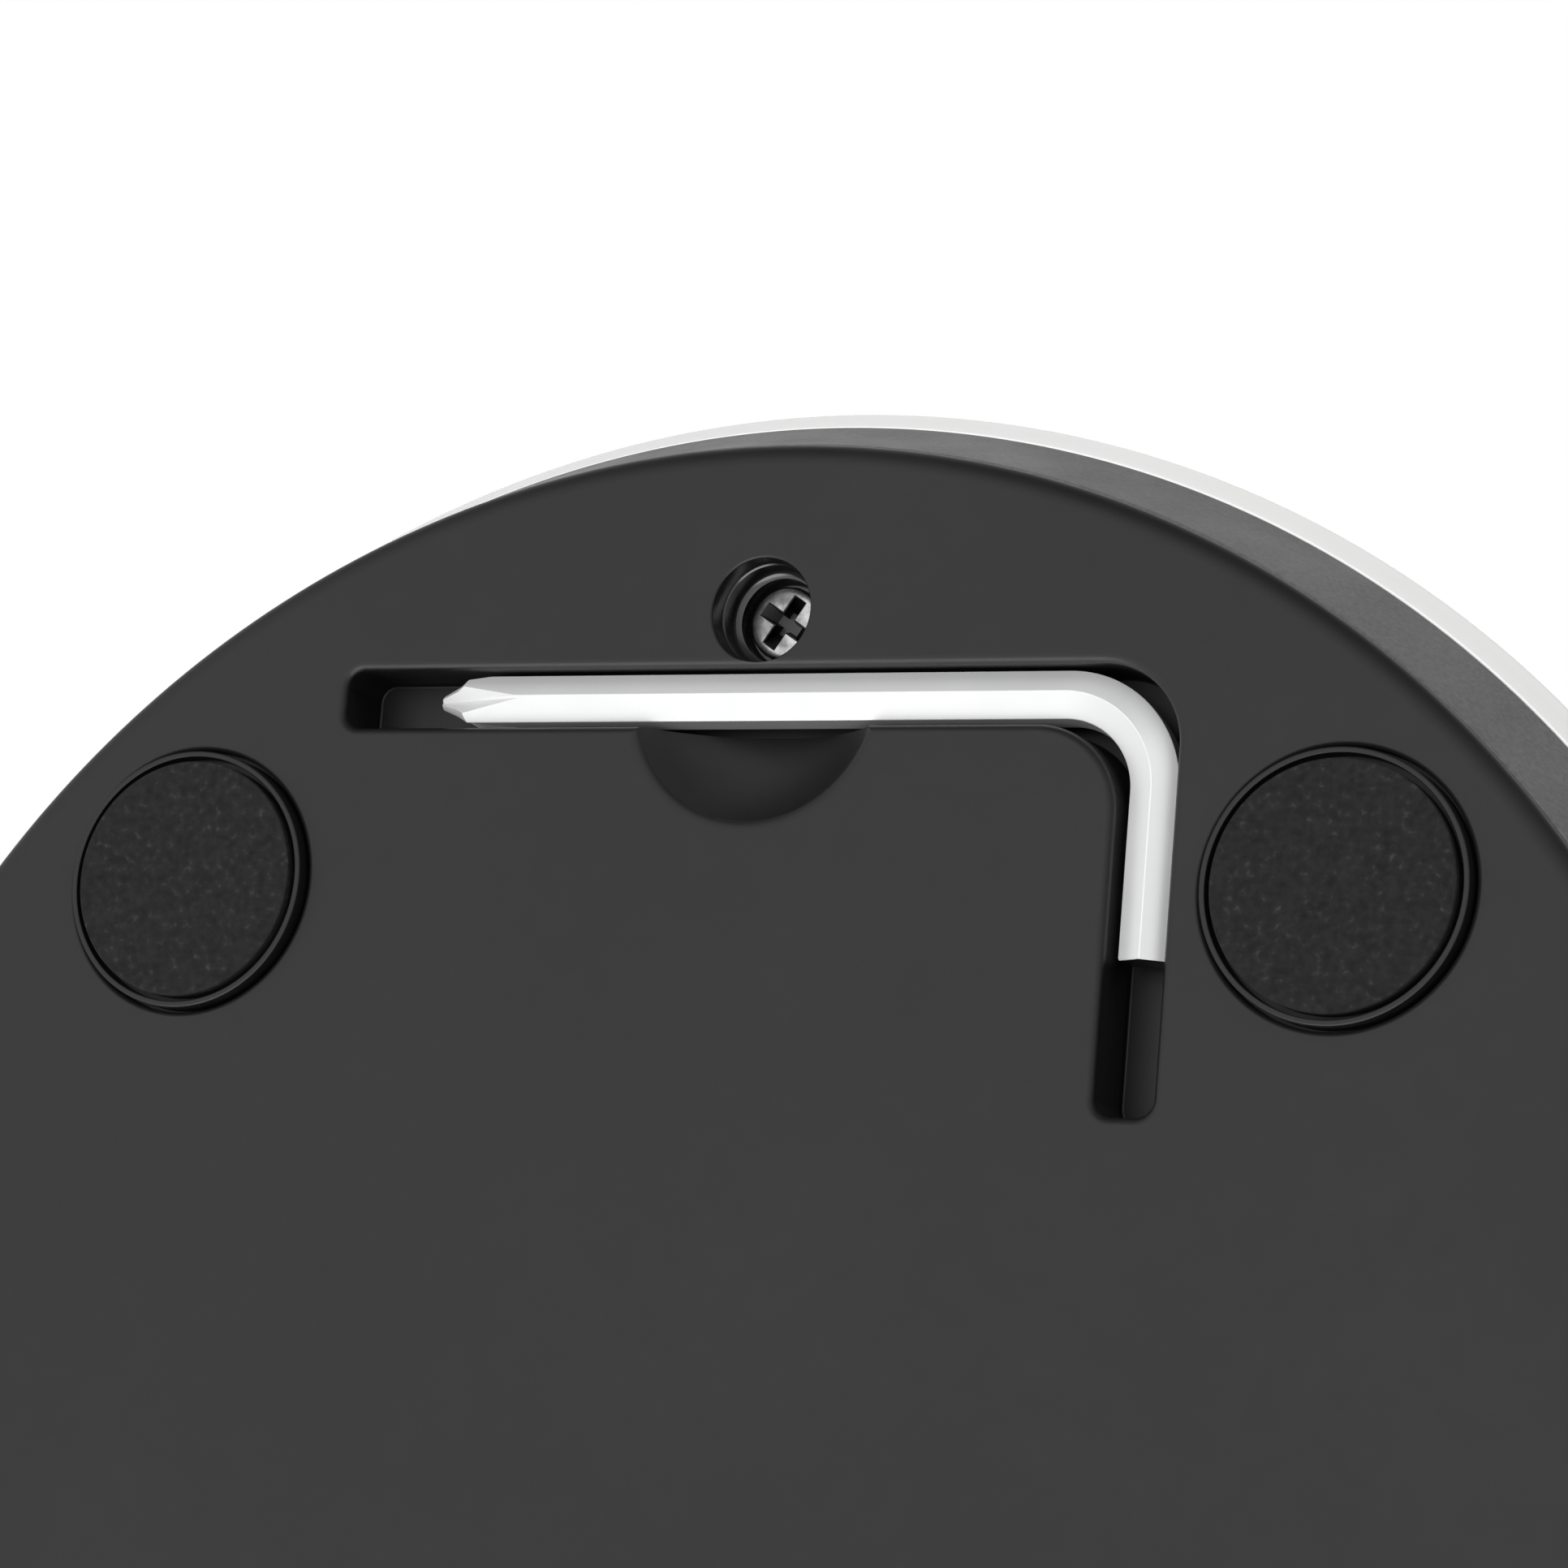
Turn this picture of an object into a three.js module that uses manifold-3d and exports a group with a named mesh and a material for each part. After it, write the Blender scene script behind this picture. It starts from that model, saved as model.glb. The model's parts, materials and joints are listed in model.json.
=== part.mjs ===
// A round digital bathroom scale with a tool store in its underside.
// Millimetres, +Z up, standing on its feet on z = 0, centred on the Z axis.
// The display is at the +Y edge; the stored hex key is in the underside on the -Y side.
import * as THREE from 'three';
import { mergeVertices } from 'three/addons/utils/BufferGeometryUtils.js';
import Module from 'manifold-3d';

const wasm = await Module();
wasm.setup();

// ---------- driving dimensions ----------
const GAP = 0.3;

const OUTER_R = 150;
const TOP_Z = 25;
const BASE_Z = 2;
const BASE_R = 140.7;
const BASE_FILLET = 1.7;
const FLOOR_T = 2.4;
const FLOOR_TOP = BASE_Z + FLOOR_T;

const SKIRT_BOTTOM = { r: 141, z: 4.7 };
const SKIRT_TOP = { r: 147.1, z: 18.9 };
const RIM_BOTTOM = { r: 147.2, z: 19.1 };
const RIM_WIDEST_Z = 23.4;
const DECK_BOTTOM = 18.3;
const DECK_TOP = 20.5;
const GLASS_R = 146.2;
const GLASS_BOTTOM = 21;

const FOOT_OFFSET = 81.6;
const PAD_R = 16.3;
const CUP_R = 17.6;
const CUP_LIP_Z = 0.5;
const FOOT_HOLE_R = 18.05;
const FOOT_TRAVEL = 0.8;

const SCREW_CIRCLE_R = 118.1;
const SCREW_ANGLES = [-90, 22, 158];
const SCREW_HEAD_R = 5;
const SCREW_HEAD_Z = 9.7;
const SCREW_HEAD_H = 2.5;
const COUNTERBORE_R = 7;
const SCREW_SHANK_R = 1.9;

const RECESS = { x0: -60.5, x1: 59.3, armX: 51.35, y0: -110.6, armY: -102.7, y1: -52.4 };
const RECESS_OUTER_R = 11;
const RECESS_INNER_R = 11.5;
const RECESS_END_R = 2.4;
const RECESS_DEPTH = 10.3;
const WALL = 1.8;
const SCOOP = { y: -107.2, mouthR: 17.6, depth: 9.5 };

const KEY_AF = 6.48;
const KEY_ROLL = (5 * Math.PI) / 180;
const KEY_Z = 6.5;
const KEY_TIP_X = -47.5;
const KEY_ARM_X = 55.56;
const KEY_ARM_Y = -106.75;
const KEY_END_Y = -72.45;
const KEY_BEND_R = 12.5;
const KEY_TIP_R = 1.05;
const KEY_CONE_R = 2.37;
const KEY_CONE_L = 2.75;
const KEY_CHAMFER_L = 2.1;
const KEY_FLUTE_L = 13;
const KEY_FLUTE_ROOT = 0.7;
const KEY_FLUTE_TILT = 0.224;

const DOOR = { x: 28.5, y0: 46, y1: 78, t: 2, pinR: 0.6, edgeR: 1 };
const CELL_BAY = { x: 25.5, y0: 50, y1: 74, roofZ: 15.6 };
const AAA = { r: 5.2, l: 43.6, nubR: 1.9, nubL: 0.9, z: 9.9, shift: 1.7 };
const BATTERY_Y = [56.2, 67.8];

const BOARD = { x: 46, y0: 84, y1: 119.5, z0: 12.6, z1: 14 };
const DISPLAY_Y = 102;
const LCD = { x: 33.5, y: 13.5, z0: 17.4, z1: 20.2 };
const BUTTON = { x: 38, y: 90, r: 5, z1: 8.2 };
const BOARD_SCREW_X = 41.5;

const BIG = 64;
const MEDIUM = 20;
const SMALL = 12;

// ---------- materials ----------
function material(color, roughness, metalness = 0) {
  return new THREE.MeshStandardMaterial({ color, roughness, metalness });
}

const darkPlastic = material(0x3d3d3e, 0.62);
const greySkirt = material(0x6b6b6c, 0.55);
const whitePlastic = material(0xe3e3e2, 0.4);
const platformGlass = material(0xf1f3f3, 0.08);
const foamTape = material(0xd8d8d2, 0.9);
const blackPlastic = material(0x1b1b1c, 0.45);
const rubber = material(0x2f2f30, 0.85);
const springSteel = material(0xb9bcc0, 0.35, 1);
const chromedSteel = material(0xd9dadb, 0.18, 1);
const naturalNylon = material(0xdedccf, 0.5);
const displayGlass = material(0x9aa59a, 0.12);
const lightGuide = material(0xf4f6ff, 0.25);
const pinkElastomer = material(0xc98a92, 0.8);
const boardGreen = material(0x1f5a38, 0.5);
const epoxy = material(0x121213, 0.3);
const batteryJacket = material(0x4f5a66, 0.35);
const redWire = material(0xa32020, 0.5);
const greyWire = material(0x8d9096, 0.5);

// ---------- solids ----------
// A closed geometry as a manifold-3d solid with its faces pointing out.
function solid(geometry) {
  const bare = geometry.clone();
  bare.deleteAttribute('normal');
  bare.deleteAttribute('uv');
  const merged = mergeVertices(bare, 1e-4);
  const vertProperties = new Float32Array(merged.attributes.position.array);
  const triVerts = new Uint32Array(merged.index.array);
  const made = new wasm.Manifold(new wasm.Mesh({ numProp: 3, vertProperties, triVerts }));
  if (made.volume() > 0) return made;
  triVerts.reverse();
  return new wasm.Manifold(new wasm.Mesh({ numProp: 3, vertProperties, triVerts }));
}

function join(first, ...rest) {
  return rest.reduce((whole, piece) => whole.add(piece), first);
}

function cut(body, ...tools) {
  return tools.reduce((whole, tool) => whole.subtract(tool), body);
}

// A profile of [radius, z] points turned about the Z axis through (x, y).
function turned(profile, segments = MEDIUM, x = 0, y = 0) {
  const points = profile.map(([r, z]) => new THREE.Vector2(r, z));
  const geometry = new THREE.LatheGeometry(points, segments);
  geometry.rotateX(Math.PI / 2).translate(x, y, 0);
  return solid(geometry);
}

function disc(r, z0, z1, segments = MEDIUM, x = 0, y = 0) {
  return turned([[0, z0], [r, z0], [r, z1], [0, z1]], segments, x, y);
}

function ring(r0, r1, z0, z1, segments = MEDIUM, x = 0, y = 0) {
  return turned([[r0, z0], [r1, z0], [r1, z1], [r0, z1], [r0, z0]], segments, x, y);
}

function box(x0, x1, y0, y1, z0, z1) {
  const geometry = new THREE.BoxGeometry(x1 - x0, y1 - y0, z1 - z0);
  return solid(geometry.translate((x0 + x1) / 2, (y0 + y1) / 2, (z0 + z1) / 2));
}

function prism(shape, z0, z1, curveSegments = 8) {
  const options = { depth: z1 - z0, bevelEnabled: false, curveSegments };
  return solid(new THREE.ExtrudeGeometry(shape, options).translate(0, 0, z0));
}

// A rectangle with rounded corners, centred on (x, y), half sizes hx and hy.
function roundedRect(hx, hy, r, x = 0, y = 0) {
  const shape = new THREE.Shape();
  shape.moveTo(x - hx + r, y - hy);
  shape.absarc(x + hx - r, y - hy + r, r, -Math.PI / 2, 0);
  shape.absarc(x + hx - r, y + hy - r, r, 0, Math.PI / 2);
  shape.absarc(x - hx + r, y + hy - r, r, Math.PI / 2, Math.PI);
  shape.absarc(x - hx + r, y - hy + r, r, Math.PI, 1.5 * Math.PI);
  return shape;
}

// A bar of constant section swept along a curve.
function swept(curve, section, steps) {
  const options = { steps, bevelEnabled: false, extrudePath: curve, curveSegments: 2 };
  return solid(new THREE.ExtrudeGeometry(section, options));
}

function polygon(sides, r, turn = 0) {
  const shape = new THREE.Shape();
  for (let i = 0; i < sides; i++) {
    const angle = turn + (i * 2 * Math.PI) / sides;
    if (i === 0) shape.moveTo(r * Math.cos(angle), r * Math.sin(angle));
    else shape.lineTo(r * Math.cos(angle), r * Math.sin(angle));
  }
  shape.closePath();
  return shape;
}

function meshOf(name, body, mat) {
  const made = body.getMesh();
  const geometry = new THREE.BufferGeometry();
  geometry.setAttribute('position', new THREE.BufferAttribute(made.vertProperties, 3));
  geometry.setIndex(new THREE.BufferAttribute(made.triVerts, 1));
  geometry.computeVertexNormals();
  const mesh = new THREE.Mesh(geometry, mat);
  mesh.name = name;
  return mesh;
}

const scale = new THREE.Group();

function add(name, body, mat, parent = scale) {
  parent.add(meshOf(name, body, mat));
}

function screwPlaces() {
  return SCREW_ANGLES.map((degrees) => {
    const angle = THREE.MathUtils.degToRad(degrees);
    return { x: SCREW_CIRCLE_R * Math.cos(angle), y: SCREW_CIRCLE_R * Math.sin(angle) };
  });
}

const FEET = [
  { name: 'front_right', x: FOOT_OFFSET, y: FOOT_OFFSET, turn: 45 },
  { name: 'front_left', x: -FOOT_OFFSET, y: FOOT_OFFSET, turn: 135 },
  { name: 'rear_left', x: -FOOT_OFFSET, y: -FOOT_OFFSET, turn: 225 },
  { name: 'rear_right', x: FOOT_OFFSET, y: -FOOT_OFFSET, turn: 315 },
];

// ---------- base shell ----------
// The L outline of the tool recess, grown outwards by a margin.
function recessOutline(margin) {
  const x0 = RECESS.x0 - margin;
  const x1 = RECESS.x1 + margin;
  const armX = RECESS.armX - margin;
  const y0 = RECESS.y0 - margin;
  const armY = RECESS.armY + margin;
  const y1 = RECESS.y1 + margin;
  const outer = RECESS_OUTER_R + margin;
  const inner = RECESS_INNER_R - margin;
  const end = RECESS_END_R + margin;
  const shape = new THREE.Shape();
  shape.moveTo(x0 + end, y0);
  shape.absarc(x1 - outer, y0 + outer, outer, -Math.PI / 2, 0);
  shape.absarc(x1 - end, y1 - end, end, 0, Math.PI / 2);
  shape.absarc(armX + end, y1 - end, end, Math.PI / 2, Math.PI);
  shape.absarc(armX - inner, armY + inner, inner, 0, -Math.PI / 2, true);
  shape.absarc(x0 + end, armY - end, end, Math.PI / 2, Math.PI);
  shape.absarc(x0 + end, y0 + end, end, Math.PI, 1.5 * Math.PI);
  return shape;
}

// The ball segment of the finger scoop, grown by a margin, on the +Y side of the long arm.
function scoopBody(margin, bottomZ) {
  const ballR = (SCOOP.mouthR ** 2 + SCOOP.depth ** 2) / (2 * SCOOP.depth);
  const centreZ = BASE_Z + SCOOP.depth - ballR;
  const r = ballR + margin;
  const steps = 6;
  const last = Math.acos((bottomZ - centreZ) / r);
  const profile = [[0, centreZ + r]];
  for (let i = 1; i <= steps; i++) {
    const angle = (last * i) / steps;
    profile.push([r * Math.sin(angle), centreZ + r * Math.cos(angle)]);
  }
  profile.push([0, bottomZ]);
  const ball = turned(profile, MEDIUM, 0, SCOOP.y);
  const rearWall = RECESS.armY - WALL - margin;
  return ball.intersect(box(-30, 30, rearWall, -60, bottomZ - 1, BASE_Z + RECESS_DEPTH + 5));
}

function baseFloor() {
  const steps = 3;
  const profile = [[0, BASE_Z]];
  for (let i = 0; i <= steps; i++) {
    const angle = (i * Math.PI) / (2 * steps);
    const r = BASE_R - BASE_FILLET + BASE_FILLET * Math.sin(angle);
    const z = BASE_Z + BASE_FILLET - BASE_FILLET * Math.cos(angle);
    profile.push([r, z]);
  }
  profile.push([BASE_R, FLOOR_TOP], [0, FLOOR_TOP]);
  return turned(profile, BIG);
}

// A screw post seen from below is a stepped counterbore with a bored web above the head.
function screwPost({ x, y }) {
  return disc(COUNTERBORE_R + WALL, BASE_Z, SCREW_HEAD_Z + SCREW_HEAD_H + WALL, MEDIUM, x, y);
}

function screwBore({ x, y }) {
  const seat = SCREW_HEAD_Z + SCREW_HEAD_H;
  const profile = [
    [0, 0], [COUNTERBORE_R, 0], [COUNTERBORE_R, BASE_Z + 4.5], [6.3, BASE_Z + 5.3],
    [6.3, seat], [SCREW_SHANK_R + GAP, seat], [SCREW_SHANK_R + GAP, seat + 4], [0, seat + 4],
  ];
  return turned(profile, MEDIUM, x, y);
}

function cradleRibs() {
  const slab = (x0, x1, y0, y1) => box(x0, x1, y0, y1, KEY_Z + 0.8, BASE_Z + RECESS_DEPTH + 0.5);
  const ribs = join(
    slab(-31, -29, RECESS.y0 - 1, RECESS.armY + 1),
    slab(27, 29, RECESS.y0 - 1, RECESS.armY + 1),
    slab(RECESS.armX - 1, RECESS.x1 + 1, -82, -80),
  );
  return cut(ribs, keyBar(KEY_AF + 2 * GAP));
}

function batteryBay() {
  const { x, y0, y1, roofZ } = CELL_BAY;
  return box(-x - WALL, x + WALL, y0 - WALL, y1 + WALL, BASE_Z, roofZ + 1.2);
}

// The lid opening, with blind holes for the hinge pins in its side walls.
function doorOpening() {
  const { x, y0, y1, t, pinR, edgeR } = DOOR;
  const opening = box(-x - GAP, x + GAP, y0 - GAP, y1 + GAP, 0, BASE_Z + t + GAP);
  const pinHole = new THREE.CylinderGeometry(pinR + 0.2, pinR + 0.2, 2 * (x + 3), 16);
  const holes = solid(pinHole.rotateZ(Math.PI / 2).translate(0, y0 + edgeR, BASE_Z + t / 2));
  return join(opening, holes);
}

// Blocks beside the lid's hinge edge that hold the pins.
function doorFrame() {
  const { x, y0, y1, t } = DOOR;
  return box(-x - 4, x + 4, y0 - 3, y1 + 3, BASE_Z, BASE_Z + t + GAP + 1.6);
}

function baseShell() {
  const screws = screwPlaces();
  const recessTop = BASE_Z + RECESS_DEPTH;
  const solids = [
    ring(136.9, 138.8, BASE_Z + 1, 16.5, BIG),
    prism(recessOutline(WALL), BASE_Z, recessTop + WALL),
    scoopBody(WALL, BASE_Z),
    batteryBay(),
    doorFrame(),
    disc(BUTTON.r + GAP + 1.6, BASE_Z, BUTTON.z1 - 1.6, SMALL, BUTTON.x, BUTTON.y),
    ...screws.map(screwPost),
    ...FEET.map(({ x, y }) => disc(21.5, BASE_Z, 9.6, MEDIUM, x, y)),
  ];
  const bay = box(-CELL_BAY.x, CELL_BAY.x, CELL_BAY.y0, CELL_BAY.y1, 0, CELL_BAY.roofZ);
  const tools = [
    prism(recessOutline(0), 0, recessTop),
    scoopBody(0, 0),
    bay,
    doorOpening(),
    disc(BUTTON.r + GAP, 0, BUTTON.z1, SMALL, BUTTON.x, BUTTON.y),
    ...screws.map(screwBore),
    ...FEET.map(({ x, y }) => disc(FOOT_HOLE_R, 0, FLOOR_TOP + 1, MEDIUM, x, y)),
    ...FEET.map(({ x, y }) => disc(19.9, FLOOR_TOP, 12, MEDIUM, x, y)),
    ...leadNotches(),
  ];
  return join(cut(join(baseFloor(), ...solids), ...tools), cradleRibs());
}

// Notches in the battery bay's walls that let the two contact leads out.
function leadNotches() {
  const { x, y1 } = CELL_BAY;
  return [
    box(-x + 0.7, -x + 3.7, y1 - 1, y1 + WALL + 1, 9, 12),
    box(-x - WALL - 1, -x + 1, BATTERY_Y[0] - 1.5, BATTERY_Y[0] + 1.5, 9, 12),
  ];
}

// ---------- skirt, platform and glass ----------
function sideSkirt() {
  const thickness = 1.7;
  const bottomR = SKIRT_BOTTOM.r;
  const topR = SKIRT_TOP.r;
  return turned([
    [bottomR - thickness, SKIRT_BOTTOM.z],
    [bottomR, SKIRT_BOTTOM.z],
    [topR, SKIRT_TOP.z],
    [topR - 4.4, SKIRT_TOP.z],
    [topR - 4.4, SKIRT_TOP.z - 1.3],
    [topR - 1.7 - thickness, SKIRT_TOP.z - 1.8],
    [bottomR - thickness, SKIRT_BOTTOM.z],
  ], BIG);
}

function platformFrame() {
  const skirtR = 141.6;
  const shell = turned([
    [0, DECK_BOTTOM],
    [skirtR - 2.2, DECK_BOTTOM],
    [skirtR - 2.2, 13],
    [skirtR - 0.8, 13],
    [skirtR, DECK_BOTTOM],
    [142.2, DECK_BOTTOM],
    [142.2, SKIRT_TOP.z + 0.2],
    [RIM_BOTTOM.r, RIM_BOTTOM.z],
    [OUTER_R - 1.1, RIM_WIDEST_Z - 1.9],
    [OUTER_R, RIM_WIDEST_Z],
    [OUTER_R - 0.5, RIM_WIDEST_Z + 0.8],
    [OUTER_R - 1.6, TOP_Z - 0.4],
    [GLASS_R + GAP, TOP_Z - 0.2],
    [GLASS_R + GAP, DECK_TOP],
    [0, DECK_TOP],
  ], BIG);
  const aperture = box(
    -LCD.x - GAP, LCD.x + GAP,
    DISPLAY_Y - LCD.y - GAP, DISPLAY_Y + LCD.y + GAP,
    DECK_BOTTOM - 1, DECK_TOP + 1,
  );
  const seatZ = SCREW_HEAD_Z + SCREW_HEAD_H + WALL + GAP;
  const screwBosses = screwPlaces().map(({ x, y }) => disc(4.4, seatZ, DECK_BOTTOM + 1, SMALL, x, y));
  const screwPilots = screwPlaces().map(({ x, y }) => (
    disc(SCREW_SHANK_R + GAP, seatZ - 1, DECK_TOP - 0.8, 12, x, y)
  ));
  const boardBosses = [-1, 1].map((side) => (
    disc(2.9, BOARD.z1 + GAP, DECK_BOTTOM + 1, SMALL, side * BOARD_SCREW_X, DISPLAY_Y)
  ));
  const boardPilots = [-1, 1].map((side) => (
    disc(1.4, BOARD.z1 - 1, DECK_BOTTOM, 12, side * BOARD_SCREW_X, DISPLAY_Y)
  ));
  const loadPosts = FEET.map(({ x, y }) => disc(6, 14.1, DECK_BOTTOM + 1, SMALL, x, y));
  const body = join(shell, ...screwBosses, ...boardBosses, ...loadPosts);
  return cut(body, aperture, ...screwPilots, ...boardPilots);
}

function glassDisc() {
  const edge = 0.7;
  return turned([
    [0, GLASS_BOTTOM], [GLASS_R - edge, GLASS_BOTTOM], [GLASS_R, GLASS_BOTTOM + edge],
    [GLASS_R, TOP_Z - edge], [GLASS_R - edge, TOP_Z], [0, TOP_Z],
  ], BIG);
}

function tapeRing() {
  return ring(GLASS_R - 16, GLASS_R - 4, DECK_TOP + 0.05, GLASS_BOTTOM - 0.05, BIG);
}

// ---------- feet and load cells, each built about its own foot centre ----------
function footPad() {
  const edge = 0.3;
  return turned([
    [0, 0], [PAD_R - edge, 0], [PAD_R, edge], [PAD_R, 2.9], [0, 2.9],
  ], MEDIUM);
}

function footCup() {
  const flangeR = 19.5;
  return turned([
    [0, 3.1], [PAD_R + 0.5, 3.1], [PAD_R + 0.5, CUP_LIP_Z + 0.2], [PAD_R + 0.6, CUP_LIP_Z],
    [CUP_R - 0.2, CUP_LIP_Z], [CUP_R, CUP_LIP_Z + 0.2], [CUP_R, FLOOR_TOP + 0.2],
    [flangeR, FLOOR_TOP + 0.2], [flangeR, 6], [4.5, 6], [4.5, 7.6], [3, 8.6], [0, 8.6],
  ], MEDIUM);
}

// A half-bridge load cell: a flat steel frame with a tongue cut free on three sides.
function loadCell() {
  const z0 = 9.8;
  const plate = prism(roundedRect(15, 15, 3), z0, z0 + 2.2, 3);
  const slotOuter = box(-9.5, 10.5, -9.5, 9.5, z0 - 1, z0 + 4);
  const tongue = box(-11, 6.5, -6, 6, z0 - 2, z0 + 5);
  const window = cut(slotOuter, tongue);
  const rivetHole = disc(1.6, z0 - 1, z0 + 4, 12);
  return cut(plate, window, rivetHole);
}

// The bridge clamps the load cell's frame and stands on the base floor with two legs.
function cellBridge() {
  const bar = box(-5, 5, -24, 24, 12.2, 13.8);
  const legs = [-1, 1].map((side) => {
    const inner = side * 21.6;
    const outer = side * 24;
    return box(-4, 4, Math.min(inner, outer), Math.max(inner, outer), FLOOR_TOP + 0.1, 13.8);
  });
  return cut(join(bar, ...legs), disc(3.2, 11, 15, SMALL));
}

function addFeet() {
  for (const foot of FEET) {
    const corner = new THREE.Group();
    corner.position.set(foot.x, foot.y, 0);
    corner.rotation.z = THREE.MathUtils.degToRad(foot.turn);
    scale.add(corner);
    add(`foot_pad_${foot.name}`, footPad(), rubber, corner);
    add(`foot_cup_${foot.name}`, footCup(), darkPlastic, corner);
    add(`load_cell_${foot.name}`, loadCell(), springSteel, corner);
    add(`cell_bridge_${foot.name}`, cellBridge(), naturalNylon, corner);
  }
}

// ---------- display and electronics ----------
function displayBezel() {
  const outer = box(-36.8, 36.8, DISPLAY_Y - 16.5, DISPLAY_Y + 16.5, BOARD.z1 + 0.2, DECK_BOTTOM - 0.2);
  const hx = LCD.x + GAP;
  const hy = LCD.y + GAP;
  return cut(outer, box(-hx, hx, DISPLAY_Y - hy, DISPLAY_Y + hy, BOARD.z1 - 1, DECK_BOTTOM + 1));
}

function lcdPanel() {
  return box(-LCD.x, LCD.x, DISPLAY_Y - LCD.y, DISPLAY_Y + LCD.y, LCD.z0, LCD.z1);
}

function backlight() {
  return box(-LCD.x + 0.5, LCD.x - 0.5, DISPLAY_Y - 9, DISPLAY_Y + LCD.y - 0.5, LCD.z0 - 2.2, LCD.z0 - 0.2);
}

function zebraStrip() {
  return box(-30, 30, DISPLAY_Y - 13, DISPLAY_Y - 10.4, BOARD.z1 + 0.2, LCD.z0 - 0.2);
}

function displayGasket() {
  const outer = box(-38, 38, DISPLAY_Y - 18, DISPLAY_Y + 18, DECK_TOP + 0.05, GLASS_BOTTOM - 0.05);
  return cut(outer, box(-31, 31, DISPLAY_Y - 11.5, DISPLAY_Y + 11.5, DECK_TOP - 1, TOP_Z));
}

function mainBoard() {
  const { x, y0, y1, z0, z1 } = BOARD;
  const shape = roundedRect(x, (y1 - y0) / 2, 3, 0, (y0 + y1) / 2);
  const holes = [-1, 1].map((side) => disc(1.6, z0 - 1, z1 + 1, 16, side * BOARD_SCREW_X, DISPLAY_Y));
  return cut(prism(shape, z0, z1, 4), ...holes);
}

function chipBlob() {
  const top = BOARD.z0 - 0.1;
  return turned([[0, top - 1.5], [2.6, top - 1.3], [5, top - 0.6], [6, top], [0, top]], SMALL, -12, 104);
}

function boardScrew(side) {
  const x = side * BOARD_SCREW_X;
  const profile = [
    [0, BOARD.z0 - 2.1], [2, BOARD.z0 - 2.1], [2.6, BOARD.z0 - 1.5], [2.6, BOARD.z0 - 0.1],
    [1.1, BOARD.z0 - 0.1], [1.1, DECK_BOTTOM - 0.8], [0, DECK_BOTTOM - 0.4],
  ];
  return turned(profile, 16, x, DISPLAY_Y);
}

// ---------- unit button ----------
function unitButton() {
  const { x, y, r, z1 } = BUTTON;
  const crown = 0.4;
  return turned([
    [0, BASE_Z + 0.1], [r - 1, BASE_Z + 0.1], [r, BASE_Z + 0.1 + crown], [r, z1 - 1.3],
    [r + 1.4, z1 - 1.3], [r + 1.4, z1 - 0.5], [1.6, z1 - 0.5], [1.6, z1], [0, z1],
  ], SMALL, x, y);
}

function tactSwitch() {
  const { x, y, z1 } = BUTTON;
  const body = box(x - 3, x + 3, y - 3, y + 3, z1 + 1.5, BOARD.z0 - 0.1);
  return join(body, disc(1.7, z1 + 0.8, z1 + 2, 16, x, y));
}

// ---------- battery compartment ----------
function batteryDoor() {
  const { x, y0, y1, t, pinR, edgeR } = DOOR;
  const plate = box(-x, x, y0 + edgeR, y1, BASE_Z, BASE_Z + t);
  const edge = new THREE.CylinderGeometry(edgeR, edgeR, 2 * x, 16).rotateZ(Math.PI / 2);
  const pin = new THREE.CylinderGeometry(pinR, pinR, 2 * (x + 2.4), 12).rotateZ(Math.PI / 2);
  const place = [0, y0 + edgeR, BASE_Z + t / 2];
  const latch = box(-6, 6, y1 - 5.4, y1 - 4.4, BASE_Z + t - 0.5, BASE_Z + t + 2.5);
  const nose = box(-6, 6, y1 - 5, y1 - 4.25, BASE_Z + t + 1.4, BASE_Z + t + 2.2);
  const fingerGrip = box(-7, 7, y1 - 2.5, y1 + 1, BASE_Z - 1, BASE_Z + 1);
  const body = join(plate, solid(edge.translate(...place)), solid(pin.translate(...place)), latch, nose);
  return cut(body, fingerGrip);
}

// A AAA cell lying along X; way is +1 or -1, the end that its button points to.
function battery(y, way) {
  const half = AAA.l / 2;
  const tip = half + AAA.nubL;
  const profile = [
    [0, -half], [4, -half], [AAA.r, -half + 0.6], [AAA.r, half - 0.6],
    [4.6, half], [AAA.nubR, half], [AAA.nubR, tip], [0, tip],
  ];
  const points = profile.map(([r, z]) => new THREE.Vector2(r, z));
  const geometry = new THREE.LatheGeometry(points, SMALL).rotateZ((-way * Math.PI) / 2);
  return solid(geometry.translate(way * AAA.shift, y, AAA.z));
}

// A flat contact plate on a bay end wall; the cell spring on it is a short cone coil.
function contactPlate(side, y0, y1, springY) {
  const wallX = side * (CELL_BAY.x - 0.2);
  const faceX = side * (CELL_BAY.x - 0.8);
  const plate = box(Math.min(wallX, faceX), Math.max(wallX, faceX), y0, y1, 5.2, 14.6);
  if (springY === null) return plate;
  return join(plate, cellSpring(side, springY));
}

function cellSpring(side, y) {
  const turns = 2.5;
  const length = 3.6;
  const points = [];
  for (let i = 0; i <= turns * 10; i++) {
    const along = i / (turns * 10);
    const angle = along * turns * 2 * Math.PI;
    const r = 3.6 - 1.2 * along;
    const x = side * (CELL_BAY.x - 1 - length * along);
    points.push(new THREE.Vector3(x, y + r * Math.cos(angle), AAA.z + r * Math.sin(angle)));
  }
  const curve = new THREE.CatmullRomCurve3(points);
  return swept(curve, polygon(6, 0.4), turns * 10);
}

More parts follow.
